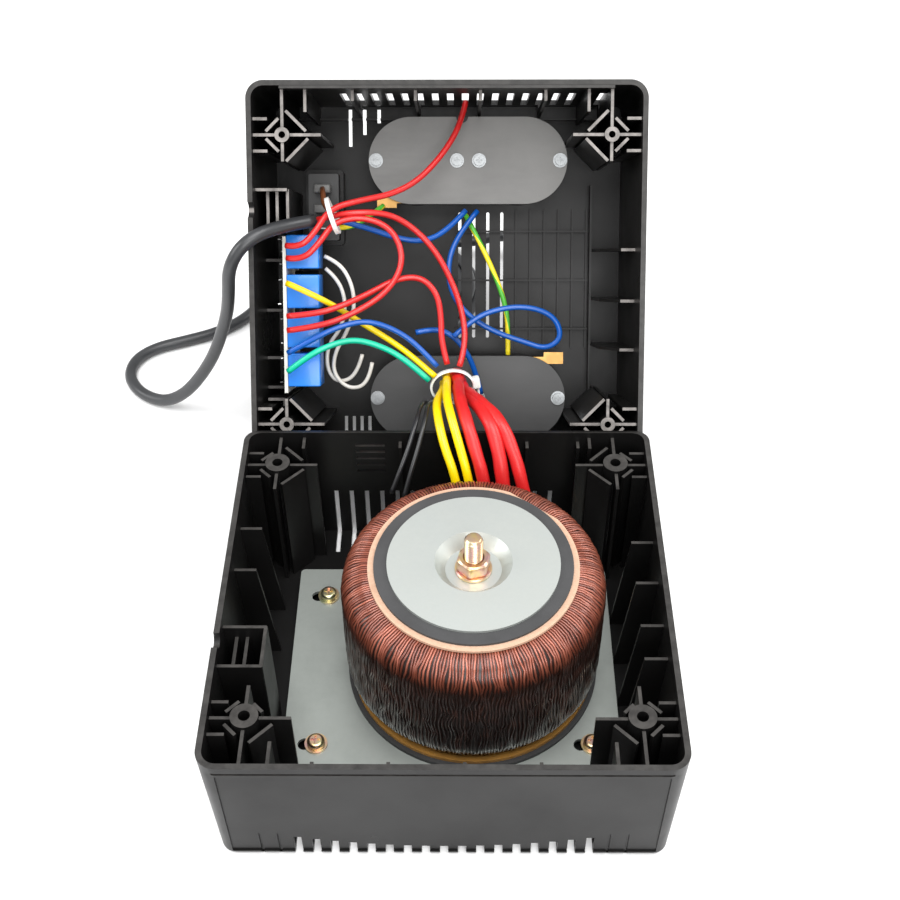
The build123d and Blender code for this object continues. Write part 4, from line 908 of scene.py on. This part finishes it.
def windingTree():
    tree = bpy.data.node_groups.new("windingTurns", "GeometryNodeTree")
    tree.interface.new_socket(name="Geometry", in_out="INPUT", socket_type="NodeSocketGeometry")
    tree.interface.new_socket(name="Geometry", in_out="OUTPUT", socket_type="NodeSocketGeometry")
    for name in ("Outer", "Inner", "Top", "Bottom", "Round", "Wire", "Wander"):
        inputOf(tree, name, "NodeSocketFloat", 0.0)
    inputOf(tree, "Turns", "NodeSocketInt", 3)
    inputOf(tree, "Seed", "NodeSocketInt", 0)
    inputOf(tree, "Look", "NodeSocketMaterial", None)
    link = tree.links.new
    given = treeNode(tree, "NodeGroupInput").outputs
    outline = treeNode(tree, "GeometryNodeCurvePrimitiveQuadrilateral")
    link(treeMath(tree, "SUBTRACT", given["Outer"], given["Inner"]), outline.inputs["Width"])
    link(treeMath(tree, "SUBTRACT", given["Top"], given["Bottom"]), outline.inputs["Height"])
    rounded = treeNode(tree, "GeometryNodeFilletCurve", mode="POLY")
    rounded.inputs["Count"].default_value = windingTreeSizes["cornerSteps"]
    link(outline.outputs["Curve"], rounded.inputs["Curve"])
    link(given["Round"], rounded.inputs["Radius"])
    middle = treeNode(tree, "ShaderNodeCombineXYZ")
    link(
        treeMath(tree, "MULTIPLY", treeMath(tree, "ADD", given["Outer"], given["Inner"]), 0.5), middle.inputs["X"]
    )
    link(
        treeMath(tree, "MULTIPLY", treeMath(tree, "ADD", given["Top"], given["Bottom"]), 0.5), middle.inputs["Z"]
    )
    upright = treeNode(tree, "GeometryNodeTransform")
    upright.inputs["Rotation"].default_value = (math.pi / 2, 0, 0)
    link(rounded.outputs["Curve"], upright.inputs["Geometry"])
    link(middle.outputs["Vector"], upright.inputs["Translation"])
    even = treeNode(tree, "GeometryNodeResampleCurve")
    even.inputs["Count"].default_value = windingTreeSizes["pointsPerTurn"]
    link(upright.outputs["Geometry"], even.inputs["Curve"])

    ring = treeNode(tree, "GeometryNodePoints")
    link(given["Turns"], ring.inputs["Count"])
    index = treeNode(tree, "GeometryNodeInputIndex").outputs[0]
    share = treeMath(tree, "DIVIDE", index, given["Turns"])
    turn = treeNode(tree, "ShaderNodeCombineXYZ")
    link(treeMath(tree, "MULTIPLY", share, 2 * math.pi), turn.inputs["Z"])
    placed = treeNode(tree, "GeometryNodeInstanceOnPoints")
    link(ring.outputs[0], placed.inputs["Points"])
    link(even.outputs["Curve"], placed.inputs["Instance"])
    link(turn.outputs["Vector"], placed.inputs["Rotation"])
    tone = treeNode(tree, "FunctionNodeRandomValue", data_type="FLOAT")
    link(given["Seed"], tone.inputs["Seed"])
    kept = treeNode(tree, "GeometryNodeStoreNamedAttribute", data_type="FLOAT", domain="INSTANCE")
    kept.inputs["Name"].default_value = "turnTone"
    link(placed.outputs["Instances"], kept.inputs["Geometry"])
    link([socket for socket in tone.outputs if socket.enabled][0], kept.inputs["Value"])
    loose = treeNode(tree, "GeometryNodeRealizeInstances")
    link(kept.outputs["Geometry"], loose.inputs["Geometry"])

    place = treeNode(tree, "GeometryNodeInputPosition").outputs[0]
    parts = treeNode(tree, "ShaderNodeSeparateXYZ")
    link(place, parts.inputs[0])
    squared = treeMath(
        tree, "ADD", treeMath(tree, "MULTIPLY", parts.outputs["X"], parts.outputs["X"]),
        treeMath(tree, "MULTIPLY", parts.outputs["Y"], parts.outputs["Y"]),
    )
    radius = treeMath(tree, "SQRT", squared)
    outside = treeNode(tree, "ShaderNodeMapRange")
    link(radius, outside.inputs["Value"])
    for socket, factor in (("From Min", 0.8), ("From Max", 0.97)):
        link(treeMath(tree, "MULTIPLY", given["Outer"], factor), outside.inputs[socket])
    # Neighbouring wires drift together: the noise changes slowly round the coil and faster down it
    tall = treeNode(tree, "ShaderNodeVectorMath", operation="MULTIPLY")
    tall.inputs[1].default_value = (1.0, 1.0, 0.55)
    link(place, tall.inputs[0])
    drift = treeNode(tree, "ShaderNodeTexNoise", noise_dimensions="4D")
    drift.inputs["Scale"].default_value = windingTreeSizes["driftScale"]
    drift.inputs["Detail"].default_value = windingTreeSizes["driftDetail"]
    link(tall.outputs["Vector"], drift.inputs["Vector"])
    link(given["Seed"], drift.inputs["W"])
    eachTurn = treeNode(tree, "ShaderNodeTexNoise", noise_dimensions="4D")
    eachTurn.inputs["Scale"].default_value = windingTreeSizes["turnScale"]
    link(place, eachTurn.inputs["Vector"])
    link(share, eachTurn.inputs["W"])
    aside = treeMath(
        tree, "MULTIPLY", treeMath(tree, "SUBTRACT", drift.outputs[0], 0.5), given["Wander"]
    )
    aside = treeMath(tree, "MULTIPLY", aside, windingTreeSizes["driftWeight"])
    aside = treeMath(tree, "MULTIPLY", aside, outside.outputs[0])
    lift = treeMath(
        tree, "MULTIPLY",
        treeMath(tree, "SUBTRACT", eachTurn.outputs[0], windingTreeSizes["turnMiddle"]), given["Wander"],
    )
    over = treeMath(tree, "DIVIDE", aside, radius)
    out = treeMath(tree, "DIVIDE", treeMath(tree, "MULTIPLY", lift, outside.outputs[0]), radius)
    moved = treeNode(tree, "ShaderNodeCombineXYZ")
    link(treeMath(
        tree, "SUBTRACT", treeMath(tree, "MULTIPLY", parts.outputs["X"], out),
        treeMath(tree, "MULTIPLY", parts.outputs["Y"], over),
    ), moved.inputs["X"])
    link(treeMath(
        tree, "ADD", treeMath(tree, "MULTIPLY", parts.outputs["Y"], out),
        treeMath(tree, "MULTIPLY", parts.outputs["X"], over),
    ), moved.inputs["Y"])
    wavy = treeNode(tree, "GeometryNodeSetPosition")
    link(loose.outputs["Geometry"], wavy.inputs["Geometry"])
    link(moved.outputs["Vector"], wavy.inputs["Offset"])

    section = treeNode(tree, "GeometryNodeCurvePrimitiveCircle")
    section.inputs["Resolution"].default_value = windingTreeSizes["wireSides"]
    link(treeMath(tree, "MULTIPLY", given["Wire"], 0.5), section.inputs["Radius"])
    wire = treeNode(tree, "GeometryNodeCurveToMesh")
    link(wavy.outputs["Geometry"], wire.inputs["Curve"])
    link(section.outputs["Curve"], wire.inputs["Profile Curve"])
    oneMesh = treeNode(tree, "GeometryNodeRealizeInstances")
    link(wire.outputs["Mesh"], oneMesh.inputs["Geometry"])
    look = treeNode(tree, "GeometryNodeSetMaterial")
    link(oneMesh.outputs["Geometry"], look.inputs["Geometry"])
    link(given["Look"], look.inputs["Material"])
    link(look.outputs["Geometry"], treeNode(tree, "NodeGroupOutput").inputs["Geometry"])
    return tree


def evaluatedPiece(name, tree, values, material):
    # Runs the tree on an empty mesh and keeps the result as a plain one
    holder = newPiece(name + "Source", [(0, 0, 0)], [], material)
    modifier = holder.modifiers.new("turns", "NODES")
    modifier.node_group = tree
    for item in tree.interface.items_tree:
        if item.item_type == "SOCKET" and item.in_out == "INPUT" and item.name in values:
            modifier[item.identifier] = values[item.name]
    bpy.context.view_layer.update()
    evaluated = holder.evaluated_get(bpy.context.evaluated_depsgraph_get())
    mesh = bpy.data.meshes.new_from_object(evaluated)
    mesh.name = name
    holder.modifiers.remove(modifier)
    bpy.data.objects.remove(holder)
    piece = bpy.data.objects.new(name, mesh)
    scene.collection.objects.link(piece)
    return piece


def makeWinding():
    size = windingSizes
    half = size["wire"] / 2
    values = {
        "Outer": (size["outer"] - half) * mm,
        "Inner": (size["inner"] + half) * mm,
        "Top": (size["top"] - half) * mm,
        "Bottom": (size["bottom"] + half) * mm,
        "Round": (size["round"] - half) * mm,
        "Wire": size["wire"] * mm,
        "Wander": size["wander"] * mm,
        "Turns": size["turns"],
        "Seed": size["seed"],
        "Look": materials["winding"],
    }
    winding = evaluatedPiece("winding", windingTree(), values, materials["winding"])
    centre = Vector((*size["centre"], 0)) * mm
    winding.data.transform(Matrix.Translation(centre))
    work = bmesh.new()
    work.from_mesh(winding.data)
    finishMesh(winding, work)
    winding.data.polygons.foreach_set("use_smooth", [True] * len(winding.data.polygons))
    # The varnished layer below, seen where the top wires part; painted near black, it also stands in for the
    # shade in the gaps between turns
    depth = size["wire"] * 0.75
    low, high = size["bottom"] + depth, size["top"] - depth
    near, far = size["inner"] + depth, size["outer"] - depth
    bend = size["round"] - depth
    profile = []
    for centreAlong, centreAway, start in (
        (low + bend, far - bend, 270), (high - bend, far - bend, 0), (high - bend, near + bend, 90),
        (low + bend, near + bend, 180),
    ):
        for step in range(9):
            angle = math.radians(start + step * 11.25)
            profile.append(
                (centreAlong + bend * math.sin(angle), centreAway + bend * math.cos(angle))
            )
    under = lathePiece(
        "windingVarnishGapShade", profile, (*size["centre"], 0), (0, 0, 1), materials["varnishGapShade"], 120, closed=True
    )
    for piece in (winding, under):
        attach(piece, "base")
        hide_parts("toroid_winding")
    print("winding triangles:", sum(len(face.vertices) - 2 for face in winding.data.polygons))


makeWinding()

# centre bolt, nut and washer, placed by the part's own nodes
stackSizes = {
    "pitch": 1.25, "threadDepth": 0.55, "boltRadius": 4.0, "stepsPerTurn": 10, "nutFlat": 6.5,
}


def axisOf(node):
    low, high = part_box(node)
    return [(low[0] + high[0]) / 2 / mm, (low[1] + high[1]) / 2 / mm], low[2] / mm, high[2] / mm


def hexagon(angle):
    return 1 / math.cos((angle + math.pi / 6) % (math.pi / 3) - math.pi / 6)


def makeCentreBolt():
    (x, y), low, top = axisOf("centre_bolt")
    nutLow, nutTop = axisOf("clamp_nut")[1:]
    size = stackSizes
    radius = size["boltRadius"]
    threadEnd = top - 0.9
    step = size["pitch"] / size["stepsPerTurn"]
    profile = [
        (low, 4.6), (low + 0.01, 6.4), (low + 0.6, 6.9), (low + 3.38, 6.9),
        (low + 3.39, radius - 0.35),
    ]
    start = nutLow - 2 * size["pitch"]
    profile.append((start - step, radius - 0.35))
    count = int((threadEnd - start) / step)
    profile += [(start + index * step, radius - 0.02) for index in range(count)]
    profile += [(top - 0.85, radius - 0.5), (top - 0.1, radius - 0.95), (top, radius - 1.2)]

    def thread(along, angle, away):
        if away > radius:
            return hexagon(angle) * 0.94
        if not start <= along <= threadEnd or away < radius - 0.1:
            return 1.0
        phase = (along / size["pitch"] - angle / (2 * math.pi)) % 1
        depth = min(1.0, max(0.0, 1.35 * abs(2 * phase - 1) - 0.15))
        return 1 - size["threadDepth"] / radius * depth

    bolt = lathePiece(
        "centreBolt", profile, (x, y, 0), (0, 0, 1), materials["yellowZinc"], 48, thread
    )
    softenEdges(bolt, 50)
    inner = radius + 0.06
    nutProfile = [
        (nutLow, inner), (nutLow, 6.1), (nutLow + 0.5, 7.0), (nutLow + 0.55, 7.15), (
            nutTop - 0.8, 7.15
        ),
        (nutTop - 0.6, 6.9), (nutTop, 6.0), (nutTop, inner + 0.5), (nutTop - 0.5, inner),
    ]

    def nutShape(along, angle, away):
        flat = size["nutFlat"] * hexagon(angle)
        return min(away, flat) / away if away > 5.9 else 1.0

    nut = lathePiece(
        "clampNut", nutProfile, (x, y, 0), (0, 0, 1), materials["yellowZinc"], 96, nutShape, closed=True
    )
    softenEdges(nut, 25)
    washerLow, washerTop = axisOf("clamp_washer")[1:]
    edge = 0.35
    washerProfile = [
        (washerLow, inner + 0.3), (washerLow, 7.95 - edge), (washerLow + edge, 7.95), (
            washerTop - edge, 7.95
        ),
        (washerTop, 7.95 - edge), (washerTop, inner + 0.3),
    ]
    washer = lathePiece(
        "clampWasher", washerProfile, (x, y, 0), (0, 0, 1), materials["yellowZinc"], 64, closed=True
    )
    softenEdges(washer, 30)
    for piece, node in ((bolt, "centre_bolt"), (nut, "clamp_nut"), (washer, "clamp_washer")):
        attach(piece, "base")
        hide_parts(node)
    print("centre bolt, nut and washer made")


makeCentreBolt()

# relays, their joints on the board's far face, and the small parts between
boardSizes = {
    "left": -80.3,
    "right": -78.7,
    "relayRows": [12.1 - 19.3 * row for row in range(4)],
    "relaySize": (16.0, 16.3, 19.0),
    "relayMiddleZ": 50.5,
    "joints": 46,
    "seed": 3,
}


def declareCover(piece, slotName, *nodeNames):
    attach(piece, "cover")
    if nodeNames:
        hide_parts(*nodeNames)
    return piece


def makeRelays():
    size = boardSizes
    for number, row in enumerate(size["relayRows"], start=1):
        centre = (size["right"] + 0.02 + size["relaySize"][0] / 2, row, size["relayMiddleZ"])
        case = boxPiece(
            f"relayCase{number}", [(centre, size["relaySize"])], materials["relayBlue"], 0.0006, 3, coverAxes
        )
        softenEdges(case, 50)
        declareCover(case, "relay_blue", f"relay_case_{number}")
    # two electrolytic capacitors, a terminal strip and a small transformer on the board
    cans = []
    for place in ((9, 25), (-2, 22)):
        centre = (size["right"] + 0.02, *place)
        profile = [
            (0, 4.6), (0.2, 4.95), (2.2, 4.95), (2.7, 4.6), (3.2, 4.95), (11.9, 4.95),
            (12.4, 4.5), (12.3, 0.4),
        ]
        cans.append((centre, profile))
    for number, (centre, profile) in enumerate(cans, start=1):
        start = coverPoint(centre) / mm
        can = lathePiece(
            f"capacitor{number}", profile, start, (1, 0, 0), materials["blackMoulding"], 40
        )
        softenEdges(can, 40)
        declareCover(can, "component_black", "board_components")
    blocks = [
        ((size["right"] + 2.12, -22, 24), (4.2, 20, 8)),
        ((size["right"] + 2.12, -45, 22), (4.2, 12, 6)),
    ]
    chips = boxPiece("boardBlocks", blocks, materials["blackMoulding"], 0.0004, 2, coverAxes)
    softenEdges(chips, 50)
    declareCover(chips, "component_black", "board_components")
    print("relays and board parts made")


makeRelays()


def jointsTree(seed):
    # Solder cones with a clipped wire end, instanced at points on the board's far face
    tree = bpy.data.node_groups.new("solderJoints", "GeometryNodeTree")
    tree.interface.new_socket(name="Geometry", in_out="INPUT", socket_type="NodeSocketGeometry")
    tree.interface.new_socket(name="Geometry", in_out="OUTPUT", socket_type="NodeSocketGeometry")
    inputOf(tree, "Cone", "NodeSocketFloat", 0.0011)
    inputOf(tree, "Pin", "NodeSocketFloat", 0.0022)
    inputOf(tree, "Look", "NodeSocketMaterial", None)
    link = tree.links.new
    given = treeNode(tree, "NodeGroupInput").outputs
    cone = treeNode(tree, "GeometryNodeMeshCone")
    cone.inputs["Vertices"].default_value = 12
    cone.inputs["Radius Top"].default_value = 0.00035
    link(given["Cone"], cone.inputs["Radius Bottom"])
    link(given["Cone"], cone.inputs["Depth"])
    pin = treeNode(tree, "GeometryNodeMeshCylinder")
    pin.inputs["Vertices"].default_value = 8
    pin.inputs["Radius"].default_value = 0.00034
    link(given["Pin"], pin.inputs["Depth"])
    raised = treeNode(tree, "GeometryNodeTransform")
    half = treeNode(tree, "ShaderNodeCombineXYZ")
    link(treeMath(tree, "MULTIPLY", given["Pin"], 0.5), half.inputs["Z"])
    link(pin.outputs["Mesh"], raised.inputs["Geometry"])
    link(half.outputs["Vector"], raised.inputs["Translation"])
    joint = treeNode(tree, "GeometryNodeJoinGeometry")
    link(cone.outputs["Mesh"], joint.inputs["Geometry"])
    link(raised.outputs["Geometry"], joint.inputs["Geometry"])
    lean = treeNode(tree, "FunctionNodeRandomValue", data_type="FLOAT_VECTOR")
    lean.inputs["Min"].default_value = (-0.22, -0.22, 0)
    lean.inputs["Max"].default_value = (0.22, 0.22, 3)
    lean.inputs["Seed"].default_value = seed
    size = treeNode(tree, "FunctionNodeRandomValue", data_type="FLOAT")
    for socket, value in (("Min", 0.75), ("Max", 1.3), ("Seed", seed + 1)):
        [item for item in size.inputs if item.name == socket and item.enabled][0].default_value = value
    placed = treeNode(tree, "GeometryNodeInstanceOnPoints")
    link(given["Geometry"], placed.inputs["Points"])
    link(joint.outputs["Geometry"], placed.inputs["Instance"])
    link([socket for socket in lean.outputs if socket.enabled][0], placed.inputs["Rotation"])
    link([socket for socket in size.outputs if socket.enabled][0], placed.inputs["Scale"])
    loose = treeNode(tree, "GeometryNodeRealizeInstances")
    link(placed.outputs["Instances"], loose.inputs["Geometry"])
    look = treeNode(tree, "GeometryNodeSetMaterial")
    link(loose.outputs["Geometry"], look.inputs["Geometry"])
    link(given["Look"], look.inputs["Material"])
    link(look.outputs["Geometry"], treeNode(tree, "NodeGroupOutput").inputs["Geometry"])
    return tree


def makeJoints():
    # The tree stands its joints on Z; the piece is turned onto the board afterwards
    size = boardSizes
    chance = random.Random(size["seed"])
    points = []
    for row in size["relayRows"]:
        for along, up in ((-6, 43), (6, 43), (0, 45), (-6, 57.5), (6, 57.5)):
            points.append((row + along, up))
    while len(points) < size["joints"]:
        point = (chance.uniform(-53, 16), chance.uniform(10, 40))
        if all(math.dist(point, other) > 3.2 for other in points):
            points.append(point)
    material = materials["solder"]
    source = newPiece(
        "jointPoints", [(along * mm, up * mm, 0) for along, up in points], [], material
    )
    modifier = source.modifiers.new("joints", "NODES")
    modifier.node_group = jointsTree(size["seed"])
    values = {"Cone": 0.0011, "Pin": 0.0023, "Look": material}
    for item in modifier.node_group.interface.items_tree:
        if item.item_type == "SOCKET" and item.in_out == "INPUT" and item.name in values:
            modifier[item.identifier] = values[item.name]
    bpy.context.view_layer.update()
    evaluated = source.evaluated_get(bpy.context.evaluated_depsgraph_get())
    mesh = bpy.data.meshes.new_from_object(evaluated)
    source.modifiers.remove(modifier)
    bpy.data.objects.remove(source)
    joints = bpy.data.objects.new("solderJoints", mesh)
    scene.collection.objects.link(joints)
    turn = Matrix((coverY, coverZ, -coverX)).transposed().to_4x4()
    joints.data.transform(Matrix.Translation(coverPoint((size["left"], 0, 0))) @ turn)
    work = bmesh.new()
    work.from_mesh(joints.data)
    finishMesh(joints, work)
    declareCover(joints, "bright_zinc")
    print("solder joints made:", len(points))


makeJoints()

# switch terminals: tabs, with insulated push-on ends on the first two
switchTabs = [(-63.8, 35.0 + offset) for offset in (9, -1, -11)]


def makeSwitchEnds():
    tabs = [((x, y, 25.6), (6.3, 0.8, 8.0)) for x, y in switchTabs]
    metal = boxPiece("switchTabs", tabs, materials["brightZinc"], 0.0002, 2, coverAxes)
    softenEdges(metal, 40)
    declareCover(metal, "contact_brass", "switch_tabs")
    sleeves = [((x, y, 27.2), (8.4, 4.4, 7.0)) for x, y in switchTabs[:2]]
    ends = boxPiece("switchEnds", sleeves, materials["greyMoulding"], 0.0008, 3, coverAxes)
    softenEdges(ends, 50)
    declareCover(ends, "switch_black")
    print("switch ends made")


makeSwitchEnds()

# cable ties: a thin band drawn round the bundle, its head and the cut tail
ties = {
    "cordTie": {
        "node": "cord_tie", "centre": coverPoint((-56, 29.4, 59.4)), "axis": coverX * 0.92 + coverY * 0.3,
        "radius": 9.0, "flatten": 0.86, "band": 2.4, "head": 230, "body": "cover", "tail": 5.0,
    },
    "harnessTie": {
        "node": "harness_tie", "centre": worldPoint((2.5, 131.5, 60.5)), "axis": Vector(
            (0.1, -0.92, 0.38)
        ),
        "radius": 10.1, "flatten": 0.8, "band": 3.0, "head": 172, "body": "cover", "tail": 4.5,
    },
}


def makeTies():
    for name, tie in ties.items():
        axis = tie["axis"].normalized()
        across = axis.cross(Vector((0, 0, 1))).normalized()
        up = across.cross(axis)
        work = bmesh.new()
        steps = 56
        rings = []
        half = tie["band"] / 2
        for step in range(steps):
            angle = 2 * math.pi * step / steps
            ring = []
            for reach, along in ((0, -half), (0, half), (1.1, half * 0.8), (1.1, -half * 0.8)):
                away = tie["radius"] + reach
                place = across * math.cos(angle) * away + up * math.sin(angle) * away * tie["flatten"]
                ring.append(work.verts.new(tie["centre"] + (place + axis * along) * mm))
            rings.append(ring)
        for step in range(steps):
            first, second = rings[step], rings[(step + 1) % steps]
            for side in range(4):
                after = (side + 1) % 4
                work.faces.new((first[side], first[after], second[after], second[side]))
        turn = math.radians(tie["head"])
        outward = (across * math.cos(turn) + up * math.sin(turn) * tie["flatten"]).normalized()
        around = axis.cross(outward)
        rim = across * math.cos(turn) * tie["radius"] + up * math.sin(turn) * tie["radius"] * tie["flatten"]
        frameTurn = Matrix((around, axis, outward)).transposed().to_4x4()
        for shift, size in (
            ((0, 0, 1.9), (5.4, tie["band"] + 2.2, 3.6)),
            ((-2.6 - tie["tail"] / 2, 0, 2.4), (tie["tail"], tie["band"] * 0.8, 1.0)),
        ):
            made = bmesh.ops.create_cube(work, size=1.0)["verts"]
            bmesh.ops.scale(work, vec=Vector(size) * mm, verts=made)
            edges = {edge for corner in made for edge in corner.link_edges}
            made = bmesh.ops.bevel(work, geom=list(edges), offset=0.0004, segments=2, affect="EDGES")["verts"]
            place = Matrix.Translation(tie["centre"] + rim * mm) @ frameTurn @ Matrix.Translation(
                Vector(shift) * mm
            )
            bmesh.ops.transform(work, matrix=place, verts=made)
        piece = newPiece(name, [], [], materials["nylon"])
        finishMesh(piece, work)
        softenEdges(piece, 40)
        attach(piece, tie["body"])
        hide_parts(tie["node"])
    print("ties made:", len(ties))


makeTies()

# the part's own nodes, each with its material
nodeLooks = {
    "base_shell": "baseCase",
    "cover_shell": "coverCase",
    "transformer_plate": "plateSteel",
    "clamp_dish": "dishSteel",
    "plate_screws": "yellowZinc",
    "plate_washers": "yellowZinc",
    "outlet_plate_screws": "brightZinc",
    "plug_pins": "brightZinc",
    "lower_rubber_pad": "rubber",
    "upper_rubber_pad": "rubber",
    "lower_insulating_ring": "amberFilm",
    "upper_insulating_ring": "pressboard",
    "toroid_core": "coreSteel",
    "upper_outlet_plate": "greyFibre",
    "lower_outlet_plate": "darkFibre",
    "upper_outlet_carrier": "blackMoulding",
    "lower_outlet_carrier": "blackMoulding",
    "upper_outlet_contacts": "brass",
    "lower_outlet_contacts": "brass",
    "upper_earth_strip": "brass",
    "lower_earth_strip": "brass",
    "relay_board": "boardLaminate",
    "relay_coils": "enamel",
    "switch_body": "blackMoulding",
    "switch_rocker": "blackMoulding",
}
for nodeName, look in nodeLooks.items():
    mesh = nodes[nodeName].data
    mesh.materials.clear()
    mesh.materials.append(materials[look])
for nodeName, node in nodes.items():
    if not node.hide_render and nodeName not in nodeLooks:
        node.data.materials.clear()
        node.data.materials.append(materials["blackMoulding"])
        print("plain material on", nodeName)
print("materials set on", len(nodeLooks), "nodes")
